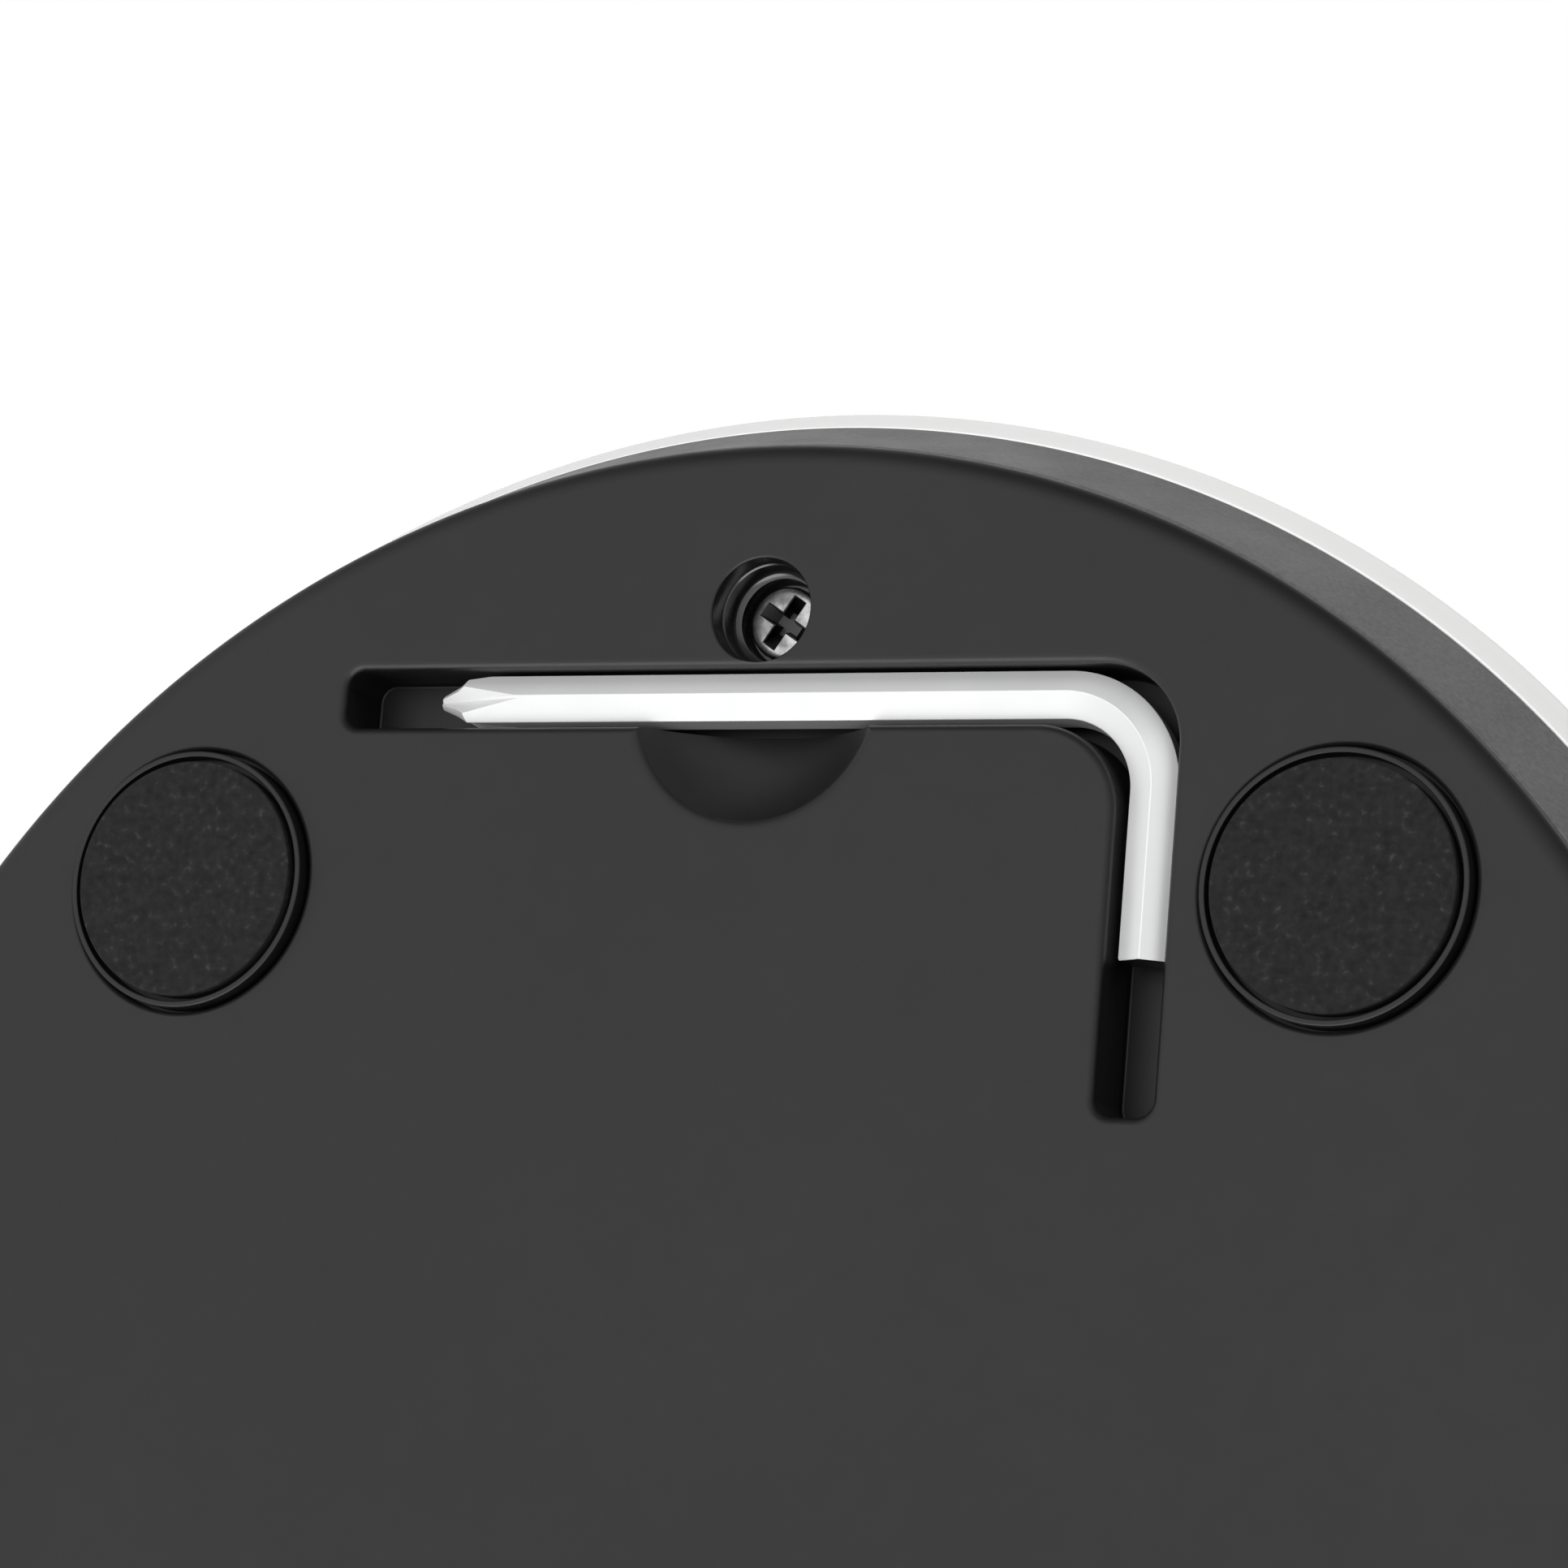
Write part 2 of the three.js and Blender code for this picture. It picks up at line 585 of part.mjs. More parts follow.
// ---------- fasteners, wiring and the stored key ----------
function caseScrew({ x, y }) {
  const face = SCREW_HEAD_Z;
  const seat = face + SCREW_HEAD_H - 0.05;
  const tip = DECK_TOP - 1.1;
  const body = turned([
    [0, face], [SCREW_HEAD_R - 1.3, face], [SCREW_HEAD_R - 0.4, face + 0.5],
    [SCREW_HEAD_R, face + 1.3], [SCREW_HEAD_R, seat], [SCREW_SHANK_R, seat],
    [SCREW_SHANK_R, tip - 1], [0.6, tip], [0, tip],
  ], SMALL, x, y);
  const slot = (hx, hy) => box(x - hx, x + hx, y - hy, y + hy, face - 1, face + 1.4);
  return cut(body, slot(2.7, 0.6), slot(0.6, 2.7));
}

// A wire loom with a round section, from point to point.
function loom(points, r) {
  const curve = new THREE.CatmullRomCurve3(points.map((p) => new THREE.Vector3(...p)), false, 'centripetal');
  return swept(curve, polygon(8, r), points.length * 2);
}

function addLooms() {
  const boardPlugZ = BOARD.z0 - 1.2;
  for (const side of [-1, 1]) {
    const hand = side < 0 ? 'left' : 'right';
    const front = [
      [side * 68, 84, 13.2], [side * 62, 86.5, 13], [side * 57, 90, 12], [side * 52, 94, 10.4],
      [side * 47, 99, 9.4], [side * 43, 107, 9.6], [side * 38, 111, boardPlugZ],
    ];
    const rear = [
      [side * 84, -68, 13.2], [side * 83, -62, 13.1], [side * 81, -57, 12], [side * 77, -48, 8.5],
      [side * 69, -30, 6], [side * 58, 0, 6], [side * 51, 28, 6], [side * 49, 50, 6],
      [side * 49, 70, 7.5], [side * 49, 84, 9], [side * 45, 93, 9.4], [side * 36, 96, boardPlugZ],
    ];
    add(`cell_loom_front_${hand}`, loom(front, 0.9), greyWire);
    add(`cell_loom_rear_${hand}`, loom(rear, 0.9), greyWire);
  }
  const positive = [
    [-23.3, 73.2, 10.5], [-23.3, 77, 10.5], [-22.5, 81, 10.5], [-21, 85, 10.8], [-20, 88, boardPlugZ],
  ];
  const negative = [
    [-26, 56.2, 10.5], [-29, 56.6, 10.5], [-31, 60, 10.2], [-31, 72, 10], [-30, 82, 10.4],
    [-28, 88, boardPlugZ],
  ];
  add('battery_lead_positive', loom(positive, 0.6), redWire);
  add('battery_lead_negative', loom(negative, 0.6), epoxy);
}

// The centre line of the key: the long arm, the bend in short straight steps, the short arm.
function keyPath() {
  const bendSteps = 10;
  const bendX = KEY_ARM_X - KEY_BEND_R;
  const bendY = KEY_ARM_Y + KEY_BEND_R;
  const points = [new THREE.Vector2(KEY_TIP_X, KEY_ARM_Y)];
  for (let i = 0; i <= bendSteps; i++) {
    const angle = -Math.PI / 2 + (i * Math.PI) / (2 * bendSteps);
    const x = bendX + KEY_BEND_R * Math.cos(angle);
    const y = bendY + KEY_BEND_R * Math.sin(angle);
    points.push(new THREE.Vector2(x, y));
  }
  points.push(new THREE.Vector2(KEY_ARM_X, KEY_END_Y));
  return points;
}

// A hex bar along the key's path, rolled a little so that its lowest corner sits outwards.
function keyBar(acrossFlats) {
  const sides = 6;
  const r = acrossFlats / Math.sqrt(3);
  const path = keyPath();
  const vertices = [];
  path.forEach((point, i) => {
    const before = path[Math.max(i - 1, 0)];
    const after = path[Math.min(i + 1, path.length - 1)];
    const way = after.clone().sub(before).normalize();
    for (let k = 0; k < sides; k++) {
      const angle = (k * 2 * Math.PI) / sides + KEY_ROLL;
      const across = r * Math.sin(angle);
      const up = r * Math.cos(angle);
      vertices.push(new THREE.Vector3(point.x - way.y * across, point.y + way.x * across, KEY_Z + up));
    }
  });
  const faces = [];
  for (let i = 0; i + 1 < path.length; i++) {
    for (let k = 0; k < sides; k++) {
      const a = i * sides + k;
      const b = i * sides + ((k + 1) % sides);
      faces.push(a, b, b + sides, a, b + sides, a + sides);
    }
  }
  const last = (path.length - 1) * sides;
  for (let k = 1; k + 1 < sides; k++) {
    faces.push(0, k + 1, k);
    faces.push(last, last + k, last + k + 1);
  }
  const geometry = new THREE.BufferGeometry().setFromPoints(vertices);
  geometry.setIndex(faces);
  return solid(geometry);
}

function hexKey() {
  const bar = keyBar(KEY_AF);
  const flatR = KEY_AF / Math.sqrt(3) + 0.2;
  const cone = new THREE.LatheGeometry([
    new THREE.Vector2(0, 0),
    new THREE.Vector2(KEY_TIP_R, 0),
    new THREE.Vector2(KEY_CONE_R, KEY_CONE_L),
    new THREE.Vector2(flatR, KEY_CONE_L + KEY_CHAMFER_L),
    new THREE.Vector2(flatR, 200),
    new THREE.Vector2(0, 200),
  ], 32).rotateZ(-Math.PI / 2).translate(KEY_TIP_X, KEY_ARM_Y, KEY_Z);
  const body = join(
    bar.intersect(solid(cone)),
    bar.intersect(box(30, 70, -115, -60, 0, 12)),
  );
  return cut(body, ...keyFlutes());
}

// Four wide V flutes that run out along the bar and leave a cross on the tip. One faces straight down.
function keyFlutes() {
  const depth = 5;
  const flutes = [];
  for (let k = 0; k < 4; k++) {
    const wedge = new THREE.CylinderGeometry(depth, depth, KEY_FLUTE_L * 2, 4, 1);
    wedge.rotateZ(Math.PI / 2).scale(1, 2, 1);
    wedge.translate(0, 0, KEY_FLUTE_ROOT + depth);
    wedge.rotateY(-KEY_FLUTE_TILT);
    wedge.rotateX((k * Math.PI) / 2);
    wedge.translate(KEY_TIP_X, KEY_ARM_Y, KEY_Z);
    flutes.push(solid(wedge));
  }
  return flutes;
}

// ---------- assembly ----------
add('base_shell', baseShell(), darkPlastic);
add('side_skirt', sideSkirt(), greySkirt);
add('platform_frame', platformFrame(), whitePlastic);
add('platform_glass', glassDisc(), platformGlass);
add('glass_tape', tapeRing(), foamTape);
addFeet();
add('display_gasket', displayGasket(), blackPlastic);
add('display_bezel', displayBezel(), blackPlastic);
add('lcd_panel', lcdPanel(), displayGlass);
add('lcd_backlight', backlight(), lightGuide);
add('zebra_strip', zebraStrip(), pinkElastomer);
add('main_board', mainBoard(), boardGreen);
add('chip_blob', chipBlob(), epoxy);
add('board_screw_left', boardScrew(-1), springSteel);
add('board_screw_right', boardScrew(1), springSteel);
add('unit_button', unitButton(), blackPlastic);
add('unit_switch', tactSwitch(), epoxy);
add('battery_door', batteryDoor(), darkPlastic);
add('battery_rear', battery(BATTERY_Y[0], 1), batteryJacket);
add('battery_front', battery(BATTERY_Y[1], -1), batteryJacket);
add('contact_bridge', contactPlate(1, 51.6, 72.4, BATTERY_Y[1]), springSteel);
add('contact_negative', contactPlate(-1, 51.6, 60.8, BATTERY_Y[0]), springSteel);
add('contact_positive', contactPlate(-1, 63.2, 72.4, null), springSteel);
screwPlaces().forEach((place, i) => add(`case_screw_${i + 1}`, caseScrew(place), chromedSteel));
addLooms();
add('hex_key', hexKey(), chromedSteel);

export default scale;
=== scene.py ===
"""Looks of the round bathroom scale: moulded base with its tool store, skirt, platform, feet and key."""
import json
import math

import bmesh
import bpy
from mathutils import Matrix, Vector


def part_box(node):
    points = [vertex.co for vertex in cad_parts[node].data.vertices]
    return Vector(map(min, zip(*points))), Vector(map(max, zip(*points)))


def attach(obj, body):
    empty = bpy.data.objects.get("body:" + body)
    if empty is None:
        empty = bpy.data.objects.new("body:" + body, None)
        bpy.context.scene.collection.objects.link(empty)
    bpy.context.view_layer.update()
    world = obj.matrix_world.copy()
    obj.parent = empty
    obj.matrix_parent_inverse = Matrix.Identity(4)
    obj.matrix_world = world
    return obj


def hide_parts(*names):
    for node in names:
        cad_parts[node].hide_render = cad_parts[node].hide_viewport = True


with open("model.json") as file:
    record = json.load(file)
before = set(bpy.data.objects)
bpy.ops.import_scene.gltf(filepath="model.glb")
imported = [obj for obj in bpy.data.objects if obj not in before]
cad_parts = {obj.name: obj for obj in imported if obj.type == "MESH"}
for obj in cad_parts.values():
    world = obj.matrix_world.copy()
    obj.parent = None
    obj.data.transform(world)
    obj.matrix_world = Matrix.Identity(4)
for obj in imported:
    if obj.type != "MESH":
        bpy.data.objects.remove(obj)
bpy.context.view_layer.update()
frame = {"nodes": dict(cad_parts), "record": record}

MM = 0.001
BODY = "scale_body"
FEET = ("front_right", "front_left", "rear_left", "rear_right")
SCREWS = ("case_screw_1", "case_screw_2", "case_screw_3")


def box_mm(node):
    low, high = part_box(node)
    return Vector(low) / MM, Vector(high) / MM


def centre_mm(node):
    low, high = box_mm(node)
    return (low + high) / 2


BASE_LOW, BASE_HIGH = box_mm("base_shell")
BASE_Z = BASE_LOW.z
BASE_R = BASE_HIGH.x
FLOOR_TOP = BASE_Z + 2.4
OUTER_R = box_mm("platform_frame")[1].x
GLASS_LOW, GLASS_HIGH = box_mm("platform_glass")
GLASS_R = GLASS_HIGH.x
DISPLAY = centre_mm("lcd_panel")
KEY_LOW, KEY_HIGH = box_mm("hex_key")

ROUND = 360
KEY_AF = 6.48
KEY_ROLL = math.radians(5)
KEY_VERTEX_R = KEY_AF / math.sqrt(3)
KEY_Z = (KEY_LOW.z + KEY_HIGH.z) / 2
KEY_HALF_WIDTH = KEY_VERTEX_R * math.cos(math.radians(30) - KEY_ROLL)
KEY_ARM_Y = KEY_LOW.y + KEY_HALF_WIDTH
KEY_ARM_X = KEY_HIGH.x - KEY_HALF_WIDTH
KEY_BEND_R = 12.5


# ---------- camera, floor and light ----------
EYE = Vector((0.31269, 0.04254, -0.66347))
TARGET = Vector((0.00545, -0.09479, 0.002))
UP_HINT = Vector((0.0014, -0.97949, -0.20149))
SENSOR_WIDTH = 36.0
LENS = 132.16

# name, place in metres, diameter in metres, power in watts
LIGHTS = (
    ("below", (-0.15, -0.05, -1.3), 0.9, 21.0),
    ("low_side", (0.75, -0.95, -0.5), 0.7, 8.0),
    ("above_left", (-0.7, -0.5, 1.2), 0.9, 16.0),
    ("above_right", (0.8, 0.6, 1.0), 0.8, 8.0),
)

WORLD_BASE = 0.53
WORLD_BY_HEIGHT = (0, 0, 0.74)
WORLD_BY_SIDE = (-0.19, 0.22, 0)
WORLD_LIMITS = (0.2, 1.3)
FILL_STRENGTH = 0.22
SIDE_GAIN = ((0.0, 0.25), (0.12, 0.25), (0.25, 1.0), (0.82, 1.0), (0.88, 3.5))


def make_camera():
    """Looks up at the underside from low on the +X side, with -Y upwards in the frame."""
    data = bpy.data.cameras.new("camera")
    data.sensor_width = SENSOR_WIDTH
    data.lens = LENS
    data.clip_start = 0.01
    data.clip_end = 50.0
    camera = bpy.data.objects.new("camera", data)
    bpy.context.scene.collection.objects.link(camera)
    forward = (TARGET - EYE).normalized()
    right = forward.cross(UP_HINT).normalized()
    up = right.cross(forward)
    axes = Matrix((right, up, -forward)).transposed()
    camera.matrix_world = Matrix.Translation(EYE) @ axes.to_4x4()
    bpy.context.scene.camera = camera


def area_light(name, position, size, watts):
    """A disc light that faces the origin and adds no highlight of its own."""
    data = bpy.data.lights.new(name, "AREA")
    data.shape = "DISK"
    data.size = size
    data.energy = watts
    light = bpy.data.objects.new(name, data)
    bpy.context.scene.collection.objects.link(light)
    light.location = position
    way = -Vector(position)
    light.rotation_euler = way.to_track_quat("-Z", "Y").to_euler()
    light.visible_camera = False
    light.visible_glossy = False


def dot_with(tree, source, way):
    node = tree.nodes.new("ShaderNodeVectorMath")
    node.operation = "DOT_PRODUCT"
    node.inputs[1].default_value = way
    tree.links.new(source, node.inputs[0])
    return node.outputs["Value"]


def combined(tree, operation, first, second):
    """A math node on two values; the second may be a plain number."""
    node = tree.nodes.new("ShaderNodeMath")
    node.operation = operation
    tree.links.new(first, node.inputs[0])
    if isinstance(second, float):
        node.inputs[1].default_value = second
    else:
        tree.links.new(second, node.inputs[1])
    return node.outputs[0]


def ranged(tree, source, low, high):
    """Runs from 0 at low to 1 at high, and no further."""
    node = tree.nodes.new("ShaderNodeMapRange")
    node.inputs["From Min"].default_value = low
    node.inputs["From Max"].default_value = high
    tree.links.new(source, node.inputs["Value"])
    return node.outputs["Result"]


def mixed_shader(tree, factor, first, second):
    node = tree.nodes.new("ShaderNodeMixShader")
    tree.links.new(factor, node.inputs[0])
    tree.links.new(first, node.inputs[1])
    tree.links.new(second, node.inputs[2])
    return node.outputs[0]


def world_level(tree, direction):
    """Brightest above and below, and a little brighter on -X and +Y."""
    folded = tree.nodes.new("ShaderNodeVectorMath")
    folded.operation = "ABSOLUTE"
    tree.links.new(direction, folded.inputs[0])
    height = dot_with(tree, folded.outputs["Vector"], WORLD_BY_HEIGHT)
    side = dot_with(tree, direction, WORLD_BY_SIDE)
    total = combined(tree, "ADD", combined(tree, "ADD", height, side), WORLD_BASE)
    level = tree.nodes.new("ShaderNodeClamp")
    level.inputs["Min"].default_value, level.inputs["Max"].default_value = WORLD_LIMITS
    tree.links.new(total, level.inputs["Value"])
    return level.outputs[0]


def world_side_gain(tree, direction):
    """Below the horizon, dark on -Y and strong far over on +Y; 1 above it."""
    parts = tree.nodes.new("ShaderNodeSeparateXYZ")
    tree.links.new(direction, parts.inputs[0])
    across = ranged(tree, parts.outputs["Y"], -1.0, 1.0)
    above = ranged(tree, parts.outputs["Z"], -0.05, 0.1)
    gain = ramp_of(tree, across, SIDE_GAIN)
    mix = tree.nodes.new("ShaderNodeMix")
    mix.inputs["B"].default_value = 1.0
    tree.links.new(above, mix.inputs["Factor"])
    tree.links.new(gain.outputs["Color"], mix.inputs["A"])
    return mix.outputs["Result"]


def make_world():
    """White to the camera, a weak fill for diffuse light, and a shaped studio for reflections."""
    world = bpy.data.worlds.new("studio")
    bpy.context.scene.world = world
    world.use_nodes = True
    tree = world.node_tree
    tree.nodes.clear()
    output = tree.nodes.new("ShaderNodeOutputWorld")
    direction = tree.nodes.new("ShaderNodeTexCoord").outputs["Generated"]
    level = world_level(tree, direction)
    studio = combined(tree, "MULTIPLY", level, world_side_gain(tree, direction))
    fill = tree.nodes.new("ShaderNodeBackground")
    fill.inputs["Strength"].default_value = FILL_STRENGTH
    tree.links.new(level, fill.inputs["Color"])
    shine = tree.nodes.new("ShaderNodeBackground")
    tree.links.new(studio, shine.inputs["Color"])
    white = tree.nodes.new("ShaderNodeBackground")
    white.inputs["Color"].default_value = (1, 1, 1, 1)
    rays = tree.nodes.new("ShaderNodeLightPath")
    lit = mixed_shader(tree, rays.outputs["Is Glossy Ray"], fill.outputs[0], shine.outputs[0])
    seen = mixed_shader(tree, rays.outputs["Is Camera Ray"], lit, white.outputs[0])
    tree.links.new(seen, output.inputs["Surface"])


def make_floor():
    """A pale floor under the feet that shows only from above, so the underside can be seen through it."""
    mesh = bpy.data.meshes.new("floor")
    half = 6.0
    corners = [(-half, -half, 0), (half, -half, 0), (half, half, 0), (-half, half, 0)]
    mesh.from_pydata(corners, [], [(0, 1, 2, 3)])
    floor = bpy.data.objects.new("floor", mesh)
    bpy.context.scene.collection.objects.link(floor)
    material = bpy.data.materials.new("floor_paint")
    material.use_nodes = True
    tree = material.node_tree
    tree.nodes.clear()
    output = tree.nodes.new("ShaderNodeOutputMaterial")
    paint = tree.nodes.new("ShaderNodeBsdfDiffuse")
    paint.inputs["Color"].default_value = (0.86, 0.86, 0.85, 1)
    clear = tree.nodes.new("ShaderNodeBsdfTransparent")
    side = tree.nodes.new("ShaderNodeNewGeometry")
    surface = mixed_shader(tree, side.outputs["Backfacing"], paint.outputs[0], clear.outputs[0])
    tree.links.new(surface, output.inputs["Surface"])
    mesh.materials.append(material)
    floor.visible_diffuse = False
    floor.visible_glossy = False
    floor.visible_transmission = False
    floor.visible_shadow = False


# ---------- materials ----------
def shader(name, colour, roughness, metallic=0.0, specular=0.5, coat=0.0):
    """A material with its plain values set, and its shader node."""
    material = bpy.data.materials.new(name)
    material.use_nodes = True
    bsdf = material.node_tree.nodes["Principled BSDF"]
    bsdf.inputs["Base Color"].default_value = (*colour, 1)
    bsdf.inputs["Roughness"].default_value = roughness
    bsdf.inputs["Metallic"].default_value = metallic
    bsdf.inputs["Specular IOR Level"].default_value = specular
    bsdf.inputs["Coat Weight"].default_value = coat
    return material, bsdf


def object_noise(material, scale, detail=4.0, stretch=(1, 1, 1)):
    """A noise value in object space; scale is in cycles per metre."""
    tree = material.node_tree
    coordinates = tree.nodes.new("ShaderNodeTexCoord")
    mapping = tree.nodes.new("ShaderNodeMapping")
    mapping.inputs["Scale"].default_value = stretch
    noise = tree.nodes.new("ShaderNodeTexNoise")
    noise.inputs["Scale"].default_value = scale
    noise.inputs["Detail"].default_value = detail
    tree.links.new(coordinates.outputs["Object"], mapping.inputs["Vector"])
    tree.links.new(mapping.outputs["Vector"], noise.inputs["Vector"])
    return noise


def ramp_of(tree, source, stops):
    """A colour ramp with a stop for each (position, value or colour)."""
    ramp = tree.nodes.new("ShaderNodeValToRGB")
    tree.links.new(source, ramp.inputs[0])
    elements = ramp.color_ramp.elements
    while len(elements) < len(stops):
        elements.new(0.5)
    for element, (position, value) in zip(elements, stops):
        element.position = position
        element.color = (*value, 1) if isinstance(value, tuple) else (value, value, value, 1)
    return ramp


def colour_from(material, bsdf, noise, stops):
    ramp = ramp_of(material.node_tree, noise.outputs["Fac"], stops)
    material.node_tree.links.new(ramp.outputs["Color"], bsdf.inputs["Base Color"])


def roughness_from(material, bsdf, noise, low, high):
    ramp = ramp_of(material.node_tree, noise.outputs["Fac"], [(0.3, low), (0.7, high)])
    material.node_tree.links.new(ramp.outputs["Color"], bsdf.inputs["Roughness"])


def bump_from(material, bsdf, noise, strength, distance):
    tree = material.node_tree
    bump = tree.nodes.new("ShaderNodeBump")
    bump.inputs["Strength"].default_value = strength
    bump.inputs["Distance"].default_value = distance
    tree.links.new(noise.outputs["Fac"], bump.inputs["Height"])
    tree.links.new(bump.outputs["Normal"], bsdf.inputs["Normal"])


def base_plastic():
    """Black ABS whose grey comes from its satin shine, with a fine spark texture and slow tone changes."""
    material, bsdf = shader("black_abs", (0.006, 0.006, 0.006), 0.42, specular=0.42)
    cloud = object_noise(material, 14.0, 3.0)
    colour_from(material, bsdf, cloud, [(0.3, (0.0052, 0.0052, 0.0053)), (0.7, (0.0070, 0.0070, 0.0071))])
    roughness_from(material, bsdf, object_noise(material, 260.0), 0.39, 0.45)
    bump_from(material, bsdf, object_noise(material, 2600.0, 2.0), 0.16, 0.00008)
    return material


def skirt_plastic():
    """Mid-grey satin plastic with a sandy grain."""
    material, bsdf = shader("grey_skirt", (0.085, 0.085, 0.086), 0.5, specular=0.4)
    grain = object_noise(material, 1500.0, 3.0)
    colour_from(material, bsdf, grain, [(0.3, (0.076, 0.076, 0.077)), (0.7, (0.110, 0.110, 0.111))])
    roughness_from(material, bsdf, object_noise(material, 90.0), 0.46, 0.58)
    bump_from(material, bsdf, grain, 0.25, 0.00008)
    return material


def white_plastic():
    material, bsdf = shader("white_abs", (0.69, 0.69, 0.685), 0.35, coat=0.15)
    cloud = object_noise(material, 20.0, 3.0)
    colour_from(material, bsdf, cloud, [(0.3, (0.675, 0.675, 0.67)), (0.7, (0.705, 0.705, 0.70))])
    roughness_from(material, bsdf, object_noise(material, 300.0), 0.32, 0.42)
    bump_from(material, bsdf, object_noise(material, 1800.0, 2.0), 0.05, 0.00005)
    return material


def foot_rubber():
    """Dark rubber with pale specks and a matt pebbled face."""
    material, bsdf = shader("foot_rubber", (0.012, 0.012, 0.012), 0.8, specular=0.25)
    specks = object_noise(material, 900.0, 6.0)
    stops = [(0.35, (0.007, 0.007, 0.007)), (0.60, (0.012, 0.012, 0.012)), (0.72, (0.028, 0.028, 0.028))]
    colour_from(material, bsdf, specks, stops)
    roughness_from(material, bsdf, object_noise(material, 400.0), 0.7, 0.9)
    bump_from(material, bsdf, specks, 0.5, 0.00015)
    return material


def key_plating():
    """Satin plating, part metal and part diffuse, with haze and a fine bump."""
    material, bsdf = shader("satin_plating", (0.71, 0.712, 0.715), 0.34, metallic=0.45)
    haze = object_noise(material, 90.0, 4.0)
    colour_from(material, bsdf, haze, [(0.3, (0.695, 0.697, 0.70)), (0.7, (0.725, 0.727, 0.73))])
    roughness_from(material, bsdf, haze, 0.30, 0.38)
    bump_from(material, bsdf, object_noise(material, 900.0, 3.0), 0.06, 0.00005)
    return material


def chrome():
    """Bright plated steel with faint haze."""
    material, bsdf = shader("bright_plating", (0.72, 0.73, 0.74), 0.16, metallic=1.0)
    haze = object_noise(material, 120.0, 4.0)
    colour_from(material, bsdf, haze, [(0.3, (0.68, 0.685, 0.69)), (0.7, (0.76, 0.765, 0.77))])
    roughness_from(material, bsdf, haze, 0.13, 0.22)
    bump_from(material, bsdf, object_noise(material, 700.0, 3.0), 0.08, 0.00005)
    return material


def screw_plating():
    """Dull nickel plating with small stains."""
    material, bsdf = shader("dull_plating", (0.42, 0.42, 0.42), 0.28, metallic=1.0)
    stains = object_noise(material, 420.0, 5.0)
    colour_from(material, bsdf, stains, [(0.38, (0.22, 0.22, 0.22)), (0.62, (0.56, 0.56, 0.56))])
    roughness_from(material, bsdf, stains, 0.36, 0.22)
    bump_from(material, bsdf, object_noise(material, 900.0, 3.0), 0.15, 0.00008)
    return material


def steel():
    material, bsdf = shader("blanked_steel", (0.5, 0.51, 0.53), 0.35, metallic=1.0)
    roughness_from(material, bsdf, object_noise(material, 500.0), 0.28, 0.45)
    lines = object_noise(material, 900.0, 2.0, stretch=(1, 0.05, 1))
    bump_from(material, bsdf, lines, 0.15, 0.00005)
    return material


def plain(name, colour, roughness, specular=0.5, tone=0.06, coat=0.0, metallic=0.0):
    """A moulded or printed surface: slight tone changes, roughness changes and a fine bump."""
    material, bsdf = shader(name, colour, roughness, metallic=metallic, specular=specular, coat=coat)
    cloud = object_noise(material, 80.0, 4.0)
    dark = tuple(c * (1 - tone) for c in colour)
    light = tuple(min(1.0, c * (1 + tone)) for c in colour)
    colour_from(material, bsdf, cloud, [(0.3, dark), (0.7, light)])
    smooth, rough = roughness * 0.85, min(1.0, roughness * 1.15)
    roughness_from(material, bsdf, object_noise(material, 350.0), smooth, rough)
    bump_from(material, bsdf, object_noise(material, 1600.0, 2.0), 0.12, 0.00006)
    return material


def clear_glass():
    material, bsdf = shader("tempered_glass", (0.93, 0.97, 0.95), 0.02)
    bsdf.inputs["Transmission Weight"].default_value = 1.0
    bsdf.inputs["IOR"].default_value = 1.5
    smears = object_noise(material, 30.0, 5.0)
    roughness_from(material, bsdf, smears, 0.005, 0.012)
    return material


def jacket(name):
    """A shrink jacket in two plain bands along the cell."""
    material, bsdf = shader(name, (0.08, 0.11, 0.15), 0.3, coat=0.4)
    tree = material.node_tree
    coordinates = tree.nodes.new("ShaderNodeTexCoord")
    parts = tree.nodes.new("ShaderNodeSeparateXYZ")
    tree.links.new(coordinates.outputs["Generated"], parts.inputs[0])
    blue, gold = (0.09, 0.13, 0.18), (0.55, 0.36, 0.17)
    stops = [(0.0, blue), (0.70, blue), (0.705, gold), (1.0, gold)]
    ramp = ramp_of(tree, parts.outputs["X"], stops)
    ramp.color_ramp.interpolation = "CONSTANT"
    tree.links.new(ramp.outputs["Color"], bsdf.inputs["Base Color"])
    roughness_from(material, bsdf, object_noise(material, 300.0), 0.24, 0.36)
    return material


